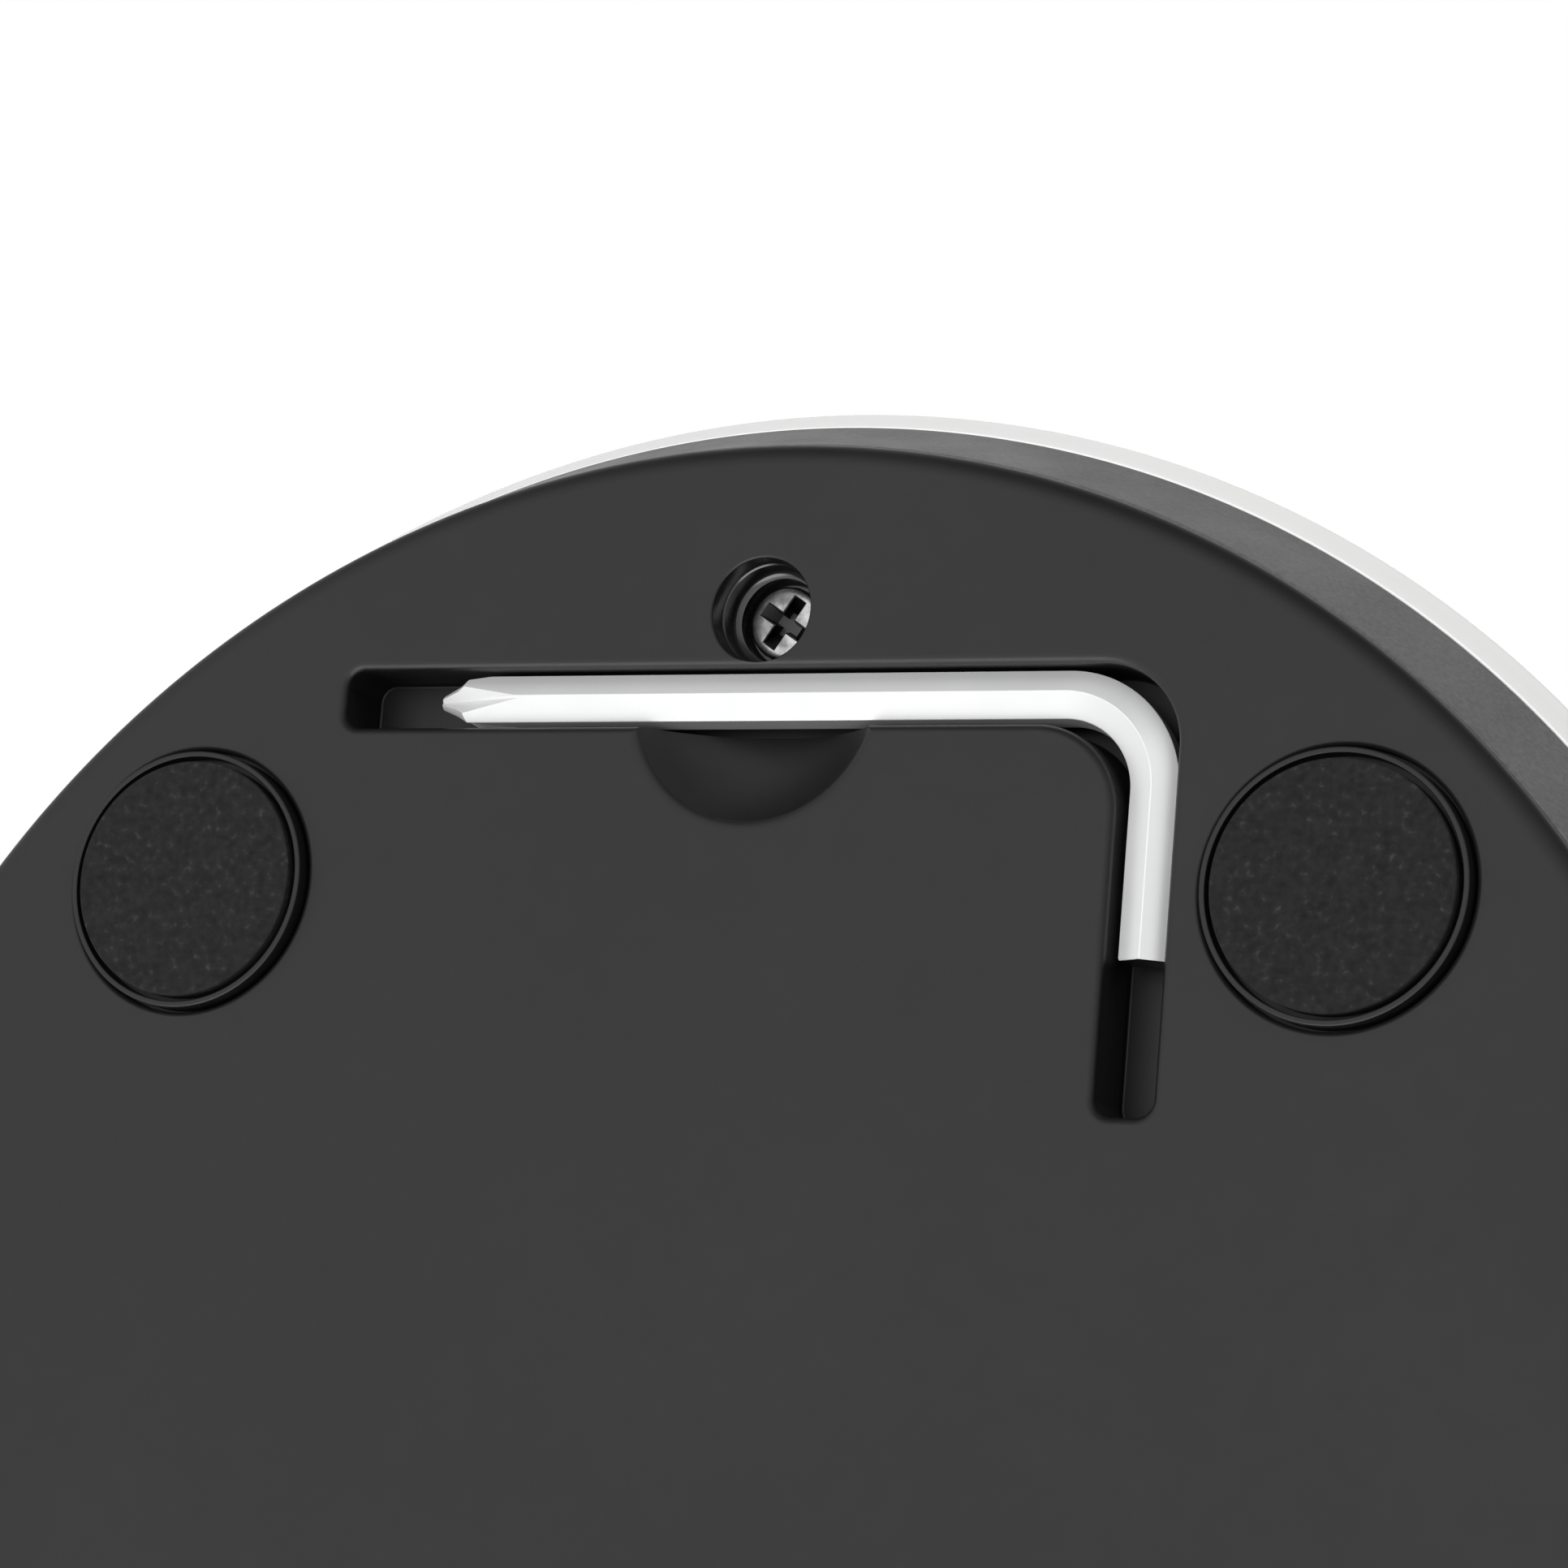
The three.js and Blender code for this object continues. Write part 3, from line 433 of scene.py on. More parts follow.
def make_materials():
    return {
        "base_plastic": base_plastic(),
        "skirt_plastic": skirt_plastic(),
        "white_plastic": white_plastic(),
        "platform_glass": clear_glass(),
        "foam": plain("foam_tape", (0.55, 0.55, 0.52), 0.95, specular=0.2),
        "black_plastic": plain("black_plastic", (0.014, 0.014, 0.015), 0.42),
        "foot_rubber": foot_rubber(),
        "cell_steel": steel(),
        "chrome": chrome(),
        "key_plating": key_plating(),
        "screw_plating": screw_plating(),
        # painted shade: a dark metal laid on the screws' cross slots and the key's end face
        "slot_shade": plain("slot_shade", (0.07, 0.07, 0.07), 0.35, metallic=1.0),
        "nylon": plain("natural_nylon", (0.68, 0.66, 0.58), 0.5),
        "display_glass": plain("display_back", (0.40, 0.45, 0.38), 0.22, coat=0.6),
        "light_guide": plain("light_guide", (0.82, 0.87, 0.92), 0.25),
        "elastomer": plain("elastomer", (0.50, 0.22, 0.27), 0.8),
        "board": plain("solder_mask", (0.012, 0.10, 0.035), 0.38, coat=0.3),
        "epoxy": plain("black_epoxy", (0.010, 0.010, 0.011), 0.3),
        "cell_jacket": jacket("cell_jacket"),
        "red_wire": plain("red_pvc", (0.35, 0.02, 0.02), 0.4),
        "grey_wire": plain("grey_pvc", (0.27, 0.28, 0.30), 0.4),
        "pocket_black": plain("pocket_gloss", (0.012, 0.012, 0.012), 0.14, specular=0.8),
        "print_white": plain("back_print_white", (0.74, 0.75, 0.75), 0.4, tone=0.01),
        "print_black": plain("back_print_black", (0.008, 0.008, 0.009), 0.25),
        "digit_ink": plain("digit_ink", (0.015, 0.018, 0.02), 0.3),
    }


# ---------- mesh tools ----------
def link_mesh(name, vertices, faces):
    """A mesh object from points in millimetres."""
    mesh = bpy.data.meshes.new(name)
    mesh.from_pydata([(x * MM, y * MM, z * MM) for x, y, z in vertices], [], faces)
    working = bmesh.new()
    working.from_mesh(mesh)
    bmesh.ops.remove_doubles(working, verts=working.verts, dist=1e-7)
    bmesh.ops.recalc_face_normals(working, faces=working.faces)
    working.to_mesh(mesh)
    working.free()
    piece = bpy.data.objects.new(name, mesh)
    bpy.context.scene.collection.objects.link(piece)
    return piece


def loft(name, loops):
    """Skins a list of loops with the same count of points, with a face over each end."""
    count = len(loops[0])
    vertices = [point for loop in loops for point in loop]
    faces = [tuple(range(count))[::-1]]
    for row in range(len(loops) - 1):
        for i in range(count):
            j = (i + 1) % count
            a, b = row * count, (row + 1) * count
            faces.append((a + i, a + j, b + j, b + i))
    last = (len(loops) - 1) * count
    faces.append(tuple(range(last, last + count)))
    return link_mesh(name, vertices, faces)


def turned(name, profile, segments=96, x=0.0, y=0.0):
    """Turns a closed profile of (radius, z) about the vertical line through (x, y)."""
    vertices = []
    faces = []
    rings = []
    for r, z in profile:
        if r < 1e-6:
            rings.append([len(vertices)])
            vertices.append((x, y, z))
            continue
        rings.append(list(range(len(vertices), len(vertices) + segments)))
        for i in range(segments):
            angle = 2 * math.pi * i / segments
            vertices.append((x + r * math.cos(angle), y + r * math.sin(angle), z))
    for k, first in enumerate(rings):
        second = rings[(k + 1) % len(rings)]
        if len(first) == 1 and len(second) == 1:
            continue
        for i in range(segments):
            j = (i + 1) % segments
            corners = [first[i % len(first)], first[j % len(first)]]
            corners += [second[j % len(second)], second[i % len(second)]]
            faces.append(tuple(dict.fromkeys(corners)))
    return link_mesh(name, vertices, faces)


def arc(cx, cz, rx, rz, start, end, steps=8):
    """Points of an elliptical arc, angles in degrees from +r towards +z."""
    points = []
    for i in range(steps + 1):
        angle = math.radians(start + (end - start) * i / steps)
        points.append((cx + rx * math.cos(angle), cz + rz * math.sin(angle)))
    return points


def circle(x, y, r, count=96):
    """A circle, as a function of its margin."""
    def outline(margin):
        points = []
        for i in range(count):
            angle = 2 * math.pi * i / count
            points.append((x + (r + margin) * math.cos(angle), y + (r + margin) * math.sin(angle)))
        return points
    return outline


def rounded_box(x0, x1, y0, y1, r):
    """The outline of a rectangle with rounded corners, as a function of its margin."""
    def outline(margin):
        corner = max(r + margin, 0.01)
        centres = ((x1 - r, y0 + r, -90), (x1 - r, y1 - r, 0), (x0 + r, y1 - r, 90), (x0 + r, y0 + r, 180))
        points = []
        for cx, cy, start in centres:
            points += arc(cx, cy, corner, corner, start, start + 90)
        return points
    return outline


def prism(name, outline, z0, z1, margin=0.0):
    points = outline(margin)
    return loft(name, [[(x, y, z) for x, y in points] for z in (z0, z1)])


def pocket(name, outline, mouth_z, depth, rim, floor_rim, steps=8):
    """A cutting tool for a pocket that opens downwards: round rim, straight wall, round floor edge."""
    levels = [(rim + 0.02, mouth_z - 0.6), (rim, mouth_z)]
    for i in range(1, steps + 1):
        angle = math.radians(90 * i / steps)
        levels.append((rim * (1 - math.sin(angle)), mouth_z + rim * (1 - math.cos(angle))))
    floor_z = mouth_z + depth
    for i in range(steps + 1):
        angle = math.radians(90 * i / steps)
        levels.append((-floor_rim * (1 - math.cos(angle)), floor_z - floor_rim * (1 - math.sin(angle))))
    return loft(name, [[(x, y, z) for x, y in outline(margin)] for margin, z in levels])


def combine(target, tools, operation):
    """Joins to or cuts from target each tool in turn, and removes the tools."""
    for tool in tools:
        modifier = target.modifiers.new("boolean", "BOOLEAN")
        modifier.operation = operation
        modifier.solver = "MANIFOLD"
        modifier.object = tool
        graph = bpy.context.evaluated_depsgraph_get()
        made = bpy.data.meshes.new_from_object(target.evaluated_get(graph))
        target.modifiers.clear()
        old = target.data
        target.data = made
        bpy.data.meshes.remove(old)
        bpy.data.objects.remove(tool)


def finish_mesh(piece, sharp_degrees=32):
    """Cleans a mesh, sets smooth shading with sharp edges by angle, and weights normals by face area."""
    mesh = piece.data
    working = bmesh.new()
    working.from_mesh(mesh)
    bmesh.ops.dissolve_degenerate(working, edges=working.edges, dist=2e-7)
    limit = math.radians(sharp_degrees)
    for edge in working.edges:
        edge.smooth = len(edge.link_faces) == 2 and edge.calc_face_angle(0.0) < limit
    for face in working.faces:
        face.smooth = True
    working.to_mesh(mesh)
    working.free()
    weighted = piece.modifiers.new("weighted_normals", "WEIGHTED_NORMAL")
    weighted.keep_sharp = True
    weighted.weight = 90


def dress(piece, materials, slot, body=BODY, look=None, replaces=()):
    """Gives a piece the material of its look, or else of its slot, the body it rides on, and hides the CAD
    nodes it stands for.
    """
    piece.data.materials.clear()
    piece.data.materials.append(materials[look or slot])
    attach(piece, body)
    if replaces:
        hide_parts(*replaces)


# ---------- base moulding ----------
RECESS = {"x0": -60.5, "x1": 59.3, "arm_x": 51.35, "y0": -110.6, "arm_y": -102.7, "y1": -52.4}
RECESS_DEPTH = 10.3
WALL = 1.8
SCOOP_R = 17.6
SCOOP_DEPTH = 9.5
SCOOP_Y = -107.2
BORE_R = 7.0
FOOT_HOLE_R = 18.05
RIM_WALL_OUTER_R = 138.8
RIM_WALL_INNER_R = 136.9
RIM_WALL_TOP = 16.5


def recess_outline(margin):
    """The L of the tool recess: long arm along X, short arm along +Y, one inside corner."""
    x0, x1 = RECESS["x0"] - margin, RECESS["x1"] + margin
    arm_x, y0 = RECESS["arm_x"] - margin, RECESS["y0"] - margin
    arm_y, y1 = RECESS["arm_y"] + margin, RECESS["y1"] + margin
    outer, inner, end = 11.0 + margin, 11.5 - margin, 2.4 + margin
    points = arc(x1 - outer, y0 + outer, outer, outer, -90, 0, 20)
    points += arc(x1 - end, y1 - end, end, end, 0, 90, 10)
    points += arc(arm_x + end, y1 - end, end, end, 90, 180, 10)
    points += arc(arm_x - inner, arm_y + inner, inner, inner, 0, -90, 20)
    points += arc(x0 + end, arm_y - end, end, end, 90, 180, 10)
    points += arc(x0 + end, y0 + end, end, end, 180, 270, 10)
    return points


def scoop(name, margin, rim):
    """Half of a dished finger hole, on the +Y side of its own centre line, open downwards."""
    ball_r = (SCOOP_R ** 2 + SCOOP_DEPTH ** 2) / (2 * SCOOP_DEPTH) + margin
    ball_z = BASE_Z + SCOOP_DEPTH + margin - ball_r
    edge_angle = math.degrees(math.asin((BASE_Z + rim * 0.6 - ball_z) / ball_r))
    profile = arc(0, ball_z, ball_r, ball_r, 90, edge_angle, 24)
    if rim > 0:
        r_end, z_end = profile[-1]
        for i in range(1, 7):
            t = i / 6
            r = r_end + rim * 1.1 * t * t + rim * 0.4 * t
            z = z_end - (z_end - BASE_Z) * (1 - (1 - t) ** 2)
            profile.append((r, z))
        profile.append((profile[-1][0], BASE_Z - 0.6))
    else:
        profile.append((profile[-1][0], BASE_Z + 0.01))
    profile = [(max(r, 0.0), z) for r, z in profile]
    count = 72
    vertices = [(0, SCOOP_Y, profile[0][1]), (0, SCOOP_Y, profile[-1][1])]
    for r, z in profile[1:]:
        for i in range(count + 1):
            angle = math.pi * i / count
            vertices.append((r * math.cos(angle), SCOOP_Y + r * math.sin(angle), z))
    rows = len(profile) - 1

    def at(row, i):
        return 2 + row * (count + 1) + i

    faces = [(0, at(0, i), at(0, i + 1)) for i in range(count)]
    for row in range(rows - 1):
        faces += [(at(row, i), at(row + 1, i), at(row + 1, i + 1), at(row, i + 1)) for i in range(count)]
    faces += [(1, at(rows - 1, i + 1), at(rows - 1, i)) for i in range(count)]
    right = [at(row, 0) for row in range(rows)]
    left = [at(row, count) for row in range(rows)]
    faces.append(tuple([0] + left + [1] + right[::-1]))
    return link_mesh(name, vertices, faces)


def counterbore(name, node, seat_z, shank_r):
    """The cutting tool for a screw's bore: round mouth, stepped wall, seat and shank hole."""
    centre = centre_mm(node)
    r = BORE_R
    profile = [(0, BASE_Z - 0.6), (r + 0.45, BASE_Z - 0.6), (r + 0.4, BASE_Z)]
    profile += arc(r + 0.4, BASE_Z + 0.4, 0.4, 0.4, 270, 180, 5)[1:]
    profile += [(r, BASE_Z + 3.4), (r - 0.2, BASE_Z + 3.6), (r - 0.3, BASE_Z + 6.3), (r - 0.5, BASE_Z + 6.6)]
    profile += [(r - 1.2, BASE_Z + 6.9), (r - 1.3, seat_z - 0.2), (r - 1.6, seat_z)]
    profile += [(shank_r, seat_z), (shank_r, seat_z + 4), (0, seat_z + 4)]
    return turned(name, profile, 128, centre.x, centre.y)


def base_moulding(materials):
    door_low, door_high = box_mm("battery_door")
    button = centre_mm("unit_button")
    seat_z = box_mm(SCREWS[0])[0].z + 2.5
    feet = [centre_mm(f"foot_pad_{foot}") for foot in FEET]
    edge_r, edge_z = 3.2, 2.1
    profile = [(0, BASE_Z)] + arc(BASE_R - edge_r, BASE_Z + edge_z, edge_r, edge_z, -90, 0, 14)
    profile += [(BASE_R, FLOOR_TOP - 0.15), (BASE_R - 0.15, FLOOR_TOP), (RIM_WALL_OUTER_R, FLOOR_TOP)]
    profile += [(RIM_WALL_OUTER_R, RIM_WALL_TOP), (RIM_WALL_INNER_R, RIM_WALL_TOP)]
    profile += [(RIM_WALL_INNER_R, FLOOR_TOP), (0, FLOOR_TOP)]
    body = turned("base_moulding", profile, ROUND)
    bay = rounded_box(-25.5, 25.5, 50, 74, 0.8)
    lid = rounded_box(-28.8, 28.8, door_low.y - 0.3, door_high.y + 0.3, 1.2)
    additions = [
        prism("recess_walls", recess_outline, BASE_Z + 1, BASE_Z + RECESS_DEPTH + WALL, WALL),
        scoop("scoop_wall", WALL, 0),
        prism("bay_walls", bay, BASE_Z + 1, 16.8, WALL),
        prism("lid_frame", rounded_box(-32.5, 32.5, 43, 81, 2), BASE_Z + 1, 5.9),
        prism("button_boss", circle(button.x, button.y, 6.9, 64), BASE_Z + 1, 6.6),
    ]
    for screw in SCREWS:
        place = centre_mm(screw)
        additions.append(prism("screw_post", circle(place.x, place.y, 8.9), BASE_Z + 1, seat_z + WALL))
    for place in feet:
        additions.append(prism("foot_boss", circle(place.x, place.y, 21.5), BASE_Z + 1, 9.6))
    combine(body, additions, "UNION")
    cuts = [
        pocket("recess_cut", recess_outline, BASE_Z, RECESS_DEPTH, 1.2, 0.35, 8),
        scoop("scoop_cut", 0.0, 1.2),
        prism("bay_cut", bay, BASE_Z - 1, 15.6),
        pocket("lid_cut", lid, BASE_Z, 2.3, 0.25, 0.05, 4),
        pocket("button_cut", circle(button.x, button.y, 5.3, 64), BASE_Z, 6.2, 0.6, 0.05, 5),
    ]
    cuts += [counterbore("screw_bore", screw, seat_z, 2.2) for screw in SCREWS]
    for place in feet:
        hole = circle(place.x, place.y, FOOT_HOLE_R, 128)
        cuts.append(pocket("foot_cut", hole, BASE_Z, 6.0, 0.75, 0.05, 7))
    for place in feet:
        cuts.append(prism("foot_room", circle(place.x, place.y, 19.9), FLOOR_TOP, 12))
    cuts += [
        prism("lead_notch", rounded_box(-24.8, -21.8, 73, 77, 0.2), 9, 12),
        prism("lead_notch", rounded_box(-28.5, -24.5, 54.7, 57.7, 0.2), 9, 12),
    ]
    combine(body, cuts, "DIFFERENCE")
    across_y = (RECESS["y0"] - 1, RECESS["arm_y"] + 1)
    across_x = (RECESS["arm_x"] - 1, RECESS["x1"] + 1)
    cradles = [cradle("cradle", -31, -29, *across_y, True),
               cradle("cradle", 27, 29, *across_y, True),
               cradle("cradle", *across_x, -82, -80, False)]
    combine(body, cradles, "UNION")
    finish_mesh(body, 34)
    dress(body, materials, "base_plastic", replaces=["base_shell"])
    gloss_bores(body, materials, [centre_mm(screw) for screw in SCREWS])


def gloss_bores(body, materials, centres):
    """Gives the screw bores the gloss that polished core pins leave."""
    body.data.materials.append(materials["pocket_black"])
    for face in body.data.polygons:
        place = face.center / MM
        for centre in centres:
            away = math.hypot(place.x - centre.x, place.y - centre.y)
            if away < BORE_R + 0.2 and place.z > BASE_Z + 0.3:
                face.material_index = 1


def cradle(name, x0, x1, y0, y1, along_x):
    """A rib across the recess floor with a V notch that carries the key on its lower corner."""
    top = KEY_Z + 0.8
    bottom = BASE_Z + RECESS_DEPTH + 0.5
    gap = 0.35
    low = KEY_Z + KEY_VERTEX_R + gap
    half = KEY_HALF_WIDTH + gap
    centre = KEY_ARM_Y if along_x else KEY_ARM_X
    a, b = (y0, y1) if along_x else (x0, x1)
    side_z = KEY_Z + KEY_VERTEX_R * 0.58 + gap
    section = [(a, top), (centre - half, top), (centre - half, side_z), (centre, low),
               (centre + half, side_z), (centre + half, top), (b, top), (b, bottom), (a, bottom)]
    if along_x:
        return loft(name, [[(x, s, z) for s, z in section] for x in (x0, x1)])
    return loft(name, [[(s, y, z) for s, z in section] for y in (y0, y1)])


# ---------- skirt, platform, glass ----------
def side_skirt(materials):
    low, high = box_mm("side_skirt")
    top_r, bottom_r = high.x, high.x - 6.1
    edge = 0.3
    slope = (top_r - bottom_r) / (high.z - low.z)
    profile = [(bottom_r - 1.6, low.z), (bottom_r - edge, low.z)]
    profile += [(bottom_r - edge * 0.25, low.z + edge * 0.25), (bottom_r + slope * edge, low.z + edge)]
    middle = (low.z + high.z) / 2
    profile += [((bottom_r + top_r) / 2 - 0.12, middle), (top_r - edge * 0.5, high.z - edge)]
    profile += [(top_r - edge * 0.6, high.z - edge * 0.3), (top_r - edge, high.z)]
    profile += [(top_r - 4.4, high.z), (top_r - 4.4, high.z - 1.3), (top_r - 3.4, high.z - 1.8)]
    piece = turned("skirt_band", profile, ROUND)
    finish_mesh(piece, 50)
    dress(piece, materials, "skirt_plastic", replaces=["side_skirt"])


def platform_frame(materials):
    low = box_mm("platform_frame")[0]
    deck_low, deck_top = 18.3, 20.5
    pocket_r = GLASS_R + 0.3
    rib_low = low.z + 1.3
    profile = [(0, deck_low), (139.4, deck_low), (139.4, rib_low), (140.8, rib_low), (141.6, deck_low)]
    profile += [(142.2, deck_low), (142.2, 19.1), (147.0, 19.1), (147.3, 19.2)]
    profile += [(148.0, 20.2), (148.7, 21.3), (149.3, 22.3), (149.8, 23.0)]
    profile += arc(OUTER_R - 0.9, 23.5, 0.9, 0.9, -10, 75, 7)
    profile += [(147.6, 24.75)]
    profile += arc(pocket_r + 0.3, 24.5, 0.3, 0.3, 90, 180, 4)
    profile += [(pocket_r, deck_top), (0, deck_top)]
    piece = turned("platform_tray", profile, ROUND)
    lcd_low, lcd_high = box_mm("lcd_panel")
    seat_z = 14.3
    bosses = []
    for screw in SCREWS:
        place = centre_mm(screw)
        bosses.append(prism("boss", circle(place.x, place.y, 4.4, 48), seat_z, deck_low + 0.5))
    for side in ("left", "right"):
        place = centre_mm(f"board_screw_{side}")
        bosses.append(prism("boss", circle(place.x, place.y, 2.9, 48), seat_z, deck_low + 0.5))
    for foot in FEET:
        place = centre_mm(f"foot_pad_{foot}")
        bosses.append(prism("boss", circle(place.x, place.y, 6, 48), 14.1, deck_low + 0.5))
    combine(piece, bosses, "UNION")
    window = rounded_box(lcd_low.x - 0.3, lcd_high.x + 0.3, lcd_low.y - 0.3, lcd_high.y + 0.3, 0.5)
    cuts = [prism("aperture", window, deck_low - 1, deck_top + 1)]
    for screw in SCREWS:
        place = centre_mm(screw)
        cuts.append(prism("pilot", circle(place.x, place.y, 2.2, 32), seat_z - 1, deck_top - 0.8))
    for side in ("left", "right"):
        place = centre_mm(f"board_screw_{side}")
        cuts.append(prism("pilot", circle(place.x, place.y, 1.4, 32), 13, deck_low))
    combine(piece, cuts, "DIFFERENCE")
    finish_mesh(piece, 32)
    dress(piece, materials, "white_plastic", replaces=["platform_frame"])


def glass_plate(materials):
    edge = 0.8
    low, high = GLASS_LOW.z, GLASS_HIGH.z
    profile = [(0, low)] + arc(GLASS_R - edge, low + edge, edge, edge, -90, 0, 6)
    profile += arc(GLASS_R - edge, high - edge, edge, edge, 0, 90, 6) + [(0, high)]
    piece = turned("glass_plate", profile, ROUND)
    finish_mesh(piece, 40)
    dress(piece, materials, "platform_glass", replaces=["platform_glass"])


def back_print(materials):
    """The opaque white print under the glass, with a black surround and a clear window for the display."""
    z0, z1 = GLASS_LOW.z - 0.045, GLASS_LOW.z - 0.015
    print_r = GLASS_R - 0.9
    sheet = turned("glass_back_print", [(0, z0), (print_r, z0), (print_r, z1), (0, z1)], ROUND)
    surround = rounded_box(DISPLAY.x - 40, DISPLAY.x + 40, DISPLAY.y - 19.5, DISPLAY.y + 19.5, 6)
    clear = rounded_box(DISPLAY.x - 30.5, DISPLAY.x + 30.5, DISPLAY.y - 11, DISPLAY.y + 11, 1.5)
    combine(sheet, [prism("hole", surround, z0 - 1, z1 + 1, 0.02)], "DIFFERENCE")
    finish_mesh(sheet, 40)
    dress(sheet, materials, "white_plastic", look="print_white")
    mask = prism("display_surround", surround, z0, z1)
    combine(mask, [prism("hole", clear, z0 - 1, z1 + 1)], "DIFFERENCE")
    finish_mesh(mask, 40)
    dress(mask, materials, "black_plastic", look="print_black")


def display_digits(materials):
    """Seven-segment digits that read 0.0, lying on the liquid crystal panel."""
    z0 = box_mm("lcd_panel")[1].z + 0.01
    z1 = z0 + 0.02
    height, width, stroke, gap = 15.0, 8.0, 1.7, 0.25
    bars = []

    def bar(x0, y0, x1, y1):
        along = (x1 - x0, y1 - y0)
        length = math.hypot(*along)
        ux, uy = along[0] / length, along[1] / length
        nx, ny = -uy * stroke / 2, ux * stroke / 2
        tip = stroke / 2
        sx, sy = x0 + ux * gap, y0 + uy * gap
        ex, ey = x1 - ux * gap, y1 - uy * gap
        bars.append([
            (sx, sy), (sx + ux * tip + nx, sy + uy * tip + ny), (ex - ux * tip + nx, ey - uy * tip + ny),
            (ex, ey), (ex - ux * tip - nx, ey - uy * tip - ny), (sx + ux * tip - nx, sy + uy * tip - ny),
        ])

    def zero(cx):
        left, right = cx - width / 2, cx + width / 2
        low, mid, high = DISPLAY.y - height / 2, DISPLAY.y, DISPLAY.y + height / 2
        bar(left, high, right, high)
        bar(right, mid, right, high)
        bar(right, low, right, mid)
        bar(left, low, right, low)
        bar(left, low, left, mid)
        bar(left, mid, left, high)

    zero(DISPLAY.x - 3.5)
    zero(DISPLAY.x + 12.5)
    point_x, point_y = DISPLAY.x + 4.6, DISPLAY.y - height / 2
    dot = 0.9
    bars.append([(point_x - dot, point_y - dot), (point_x + dot, point_y - dot),
                 (point_x + dot, point_y + dot), (point_x - dot, point_y + dot)])
    vertices, faces = [], []
    for outline in bars:
        start, count = len(vertices), len(outline)
        vertices += [(x, y, z0) for x, y in outline] + [(x, y, z1) for x, y in outline]
        faces.append(tuple(range(start, start + count)))
        faces.append(tuple(range(start + count, start + 2 * count)))
        for i in range(count):
            j = (i + 1) % count
            faces.append((start + i, start + j, start + count + j, start + count + i))
    piece = link_mesh("display_digits", vertices, faces)
    finish_mesh(piece)
    dress(piece, materials, "black_plastic", look="digit_ink")


# ---------- feet ----------
def foot(materials, name):
    pad_low, pad_high = box_mm(f"foot_pad_{name}")
    centre = (pad_low + pad_high) / 2
    body = f"foot_{name}"
    r = (pad_high.x - pad_low.x) / 2
    edge = 0.3
    profile = [(0, 0.0), (r * 0.4, 0.0), (r - 2.2, 0.0)] + arc(r - edge, edge, edge, edge, -90, 0, 6)
    profile += [(r, pad_high.z), (0, pad_high.z)]
    pad = turned(f"rubber_pad_{name}", profile, 128, centre.x, centre.y)
    finish_mesh(pad, 40)
    dress(pad, materials, "foot_rubber", body=body, replaces=[f"foot_pad_{name}"])
    inner_r, outer_r, lip = 16.8, 17.6, 0.5
    profile = [(0, 3.1), (inner_r, 3.1), (inner_r, lip + 0.2)]
    profile += arc(inner_r + 0.2, lip + 0.2, 0.2, 0.2, 180, 270, 4)
    profile += arc(outer_r - 0.25, lip + 0.25, 0.25, 0.25, -90, 0, 5)
    profile += [(outer_r, 4.6), (19.5, 4.6), (19.5, 6), (4.5, 6), (4.5, 7.6), (3, 8.6), (0, 8.6)]
    cup = turned(f"foot_ring_{name}", profile, 128, centre.x, centre.y)
    finish_mesh(cup, 40)
    dress(cup, materials, "base_plastic", body=body, replaces=[f"foot_cup_{name}"])


# ---------- hex key ----------
def key_section():
    """A hexagon rolled a little from corner-down, with rounded corners, as (across, up) points."""
    corner_r = 0.2
    reach = KEY_VERTEX_R - corner_r / math.cos(math.radians(30))
    points = []
    for k in range(6):
        middle = math.radians(60 * k) + KEY_ROLL
        cx, cy = reach * math.cos(middle), reach * math.sin(middle)
        for i in range(4):
            angle = middle + math.radians(-30 + 20 * i)
            points.append((cx + corner_r * math.cos(angle), cy + corner_r * math.sin(angle)))
    return [(across, up) for up, across in points]


def key_bar():
    section = key_section()
    end_y = KEY_HIGH.y
    bend_x, bend_y = KEY_ARM_X - KEY_BEND_R, KEY_ARM_Y + KEY_BEND_R
    stations = [((KEY_LOW.x, KEY_ARM_Y), 0, 1.0), ((KEY_LOW.x + 20, KEY_ARM_Y), 0, 1.0)]
    steps = 36
    for i in range(steps + 1):
        angle = 90 * i / steps
        turn = math.radians(angle - 90)
        place = (bend_x + KEY_BEND_R * math.cos(turn), bend_y + KEY_BEND_R * math.sin(turn))
        stations.append((place, angle, 1.0))
    stations += [((KEY_ARM_X, end_y - 0.35), 90, 1.0), ((KEY_ARM_X, end_y - 0.08), 90, 0.96),
                 ((KEY_ARM_X, end_y), 90, 0.9)]
    loops = []
    for (x, y), angle, size in stations:
        side = math.radians(angle + 90)
        loops.append([(x + size * a * math.cos(side), y + size * a * math.sin(side), KEY_Z + size * up)
                      for a, up in section])
    return loft("hex_key_bar", loops)


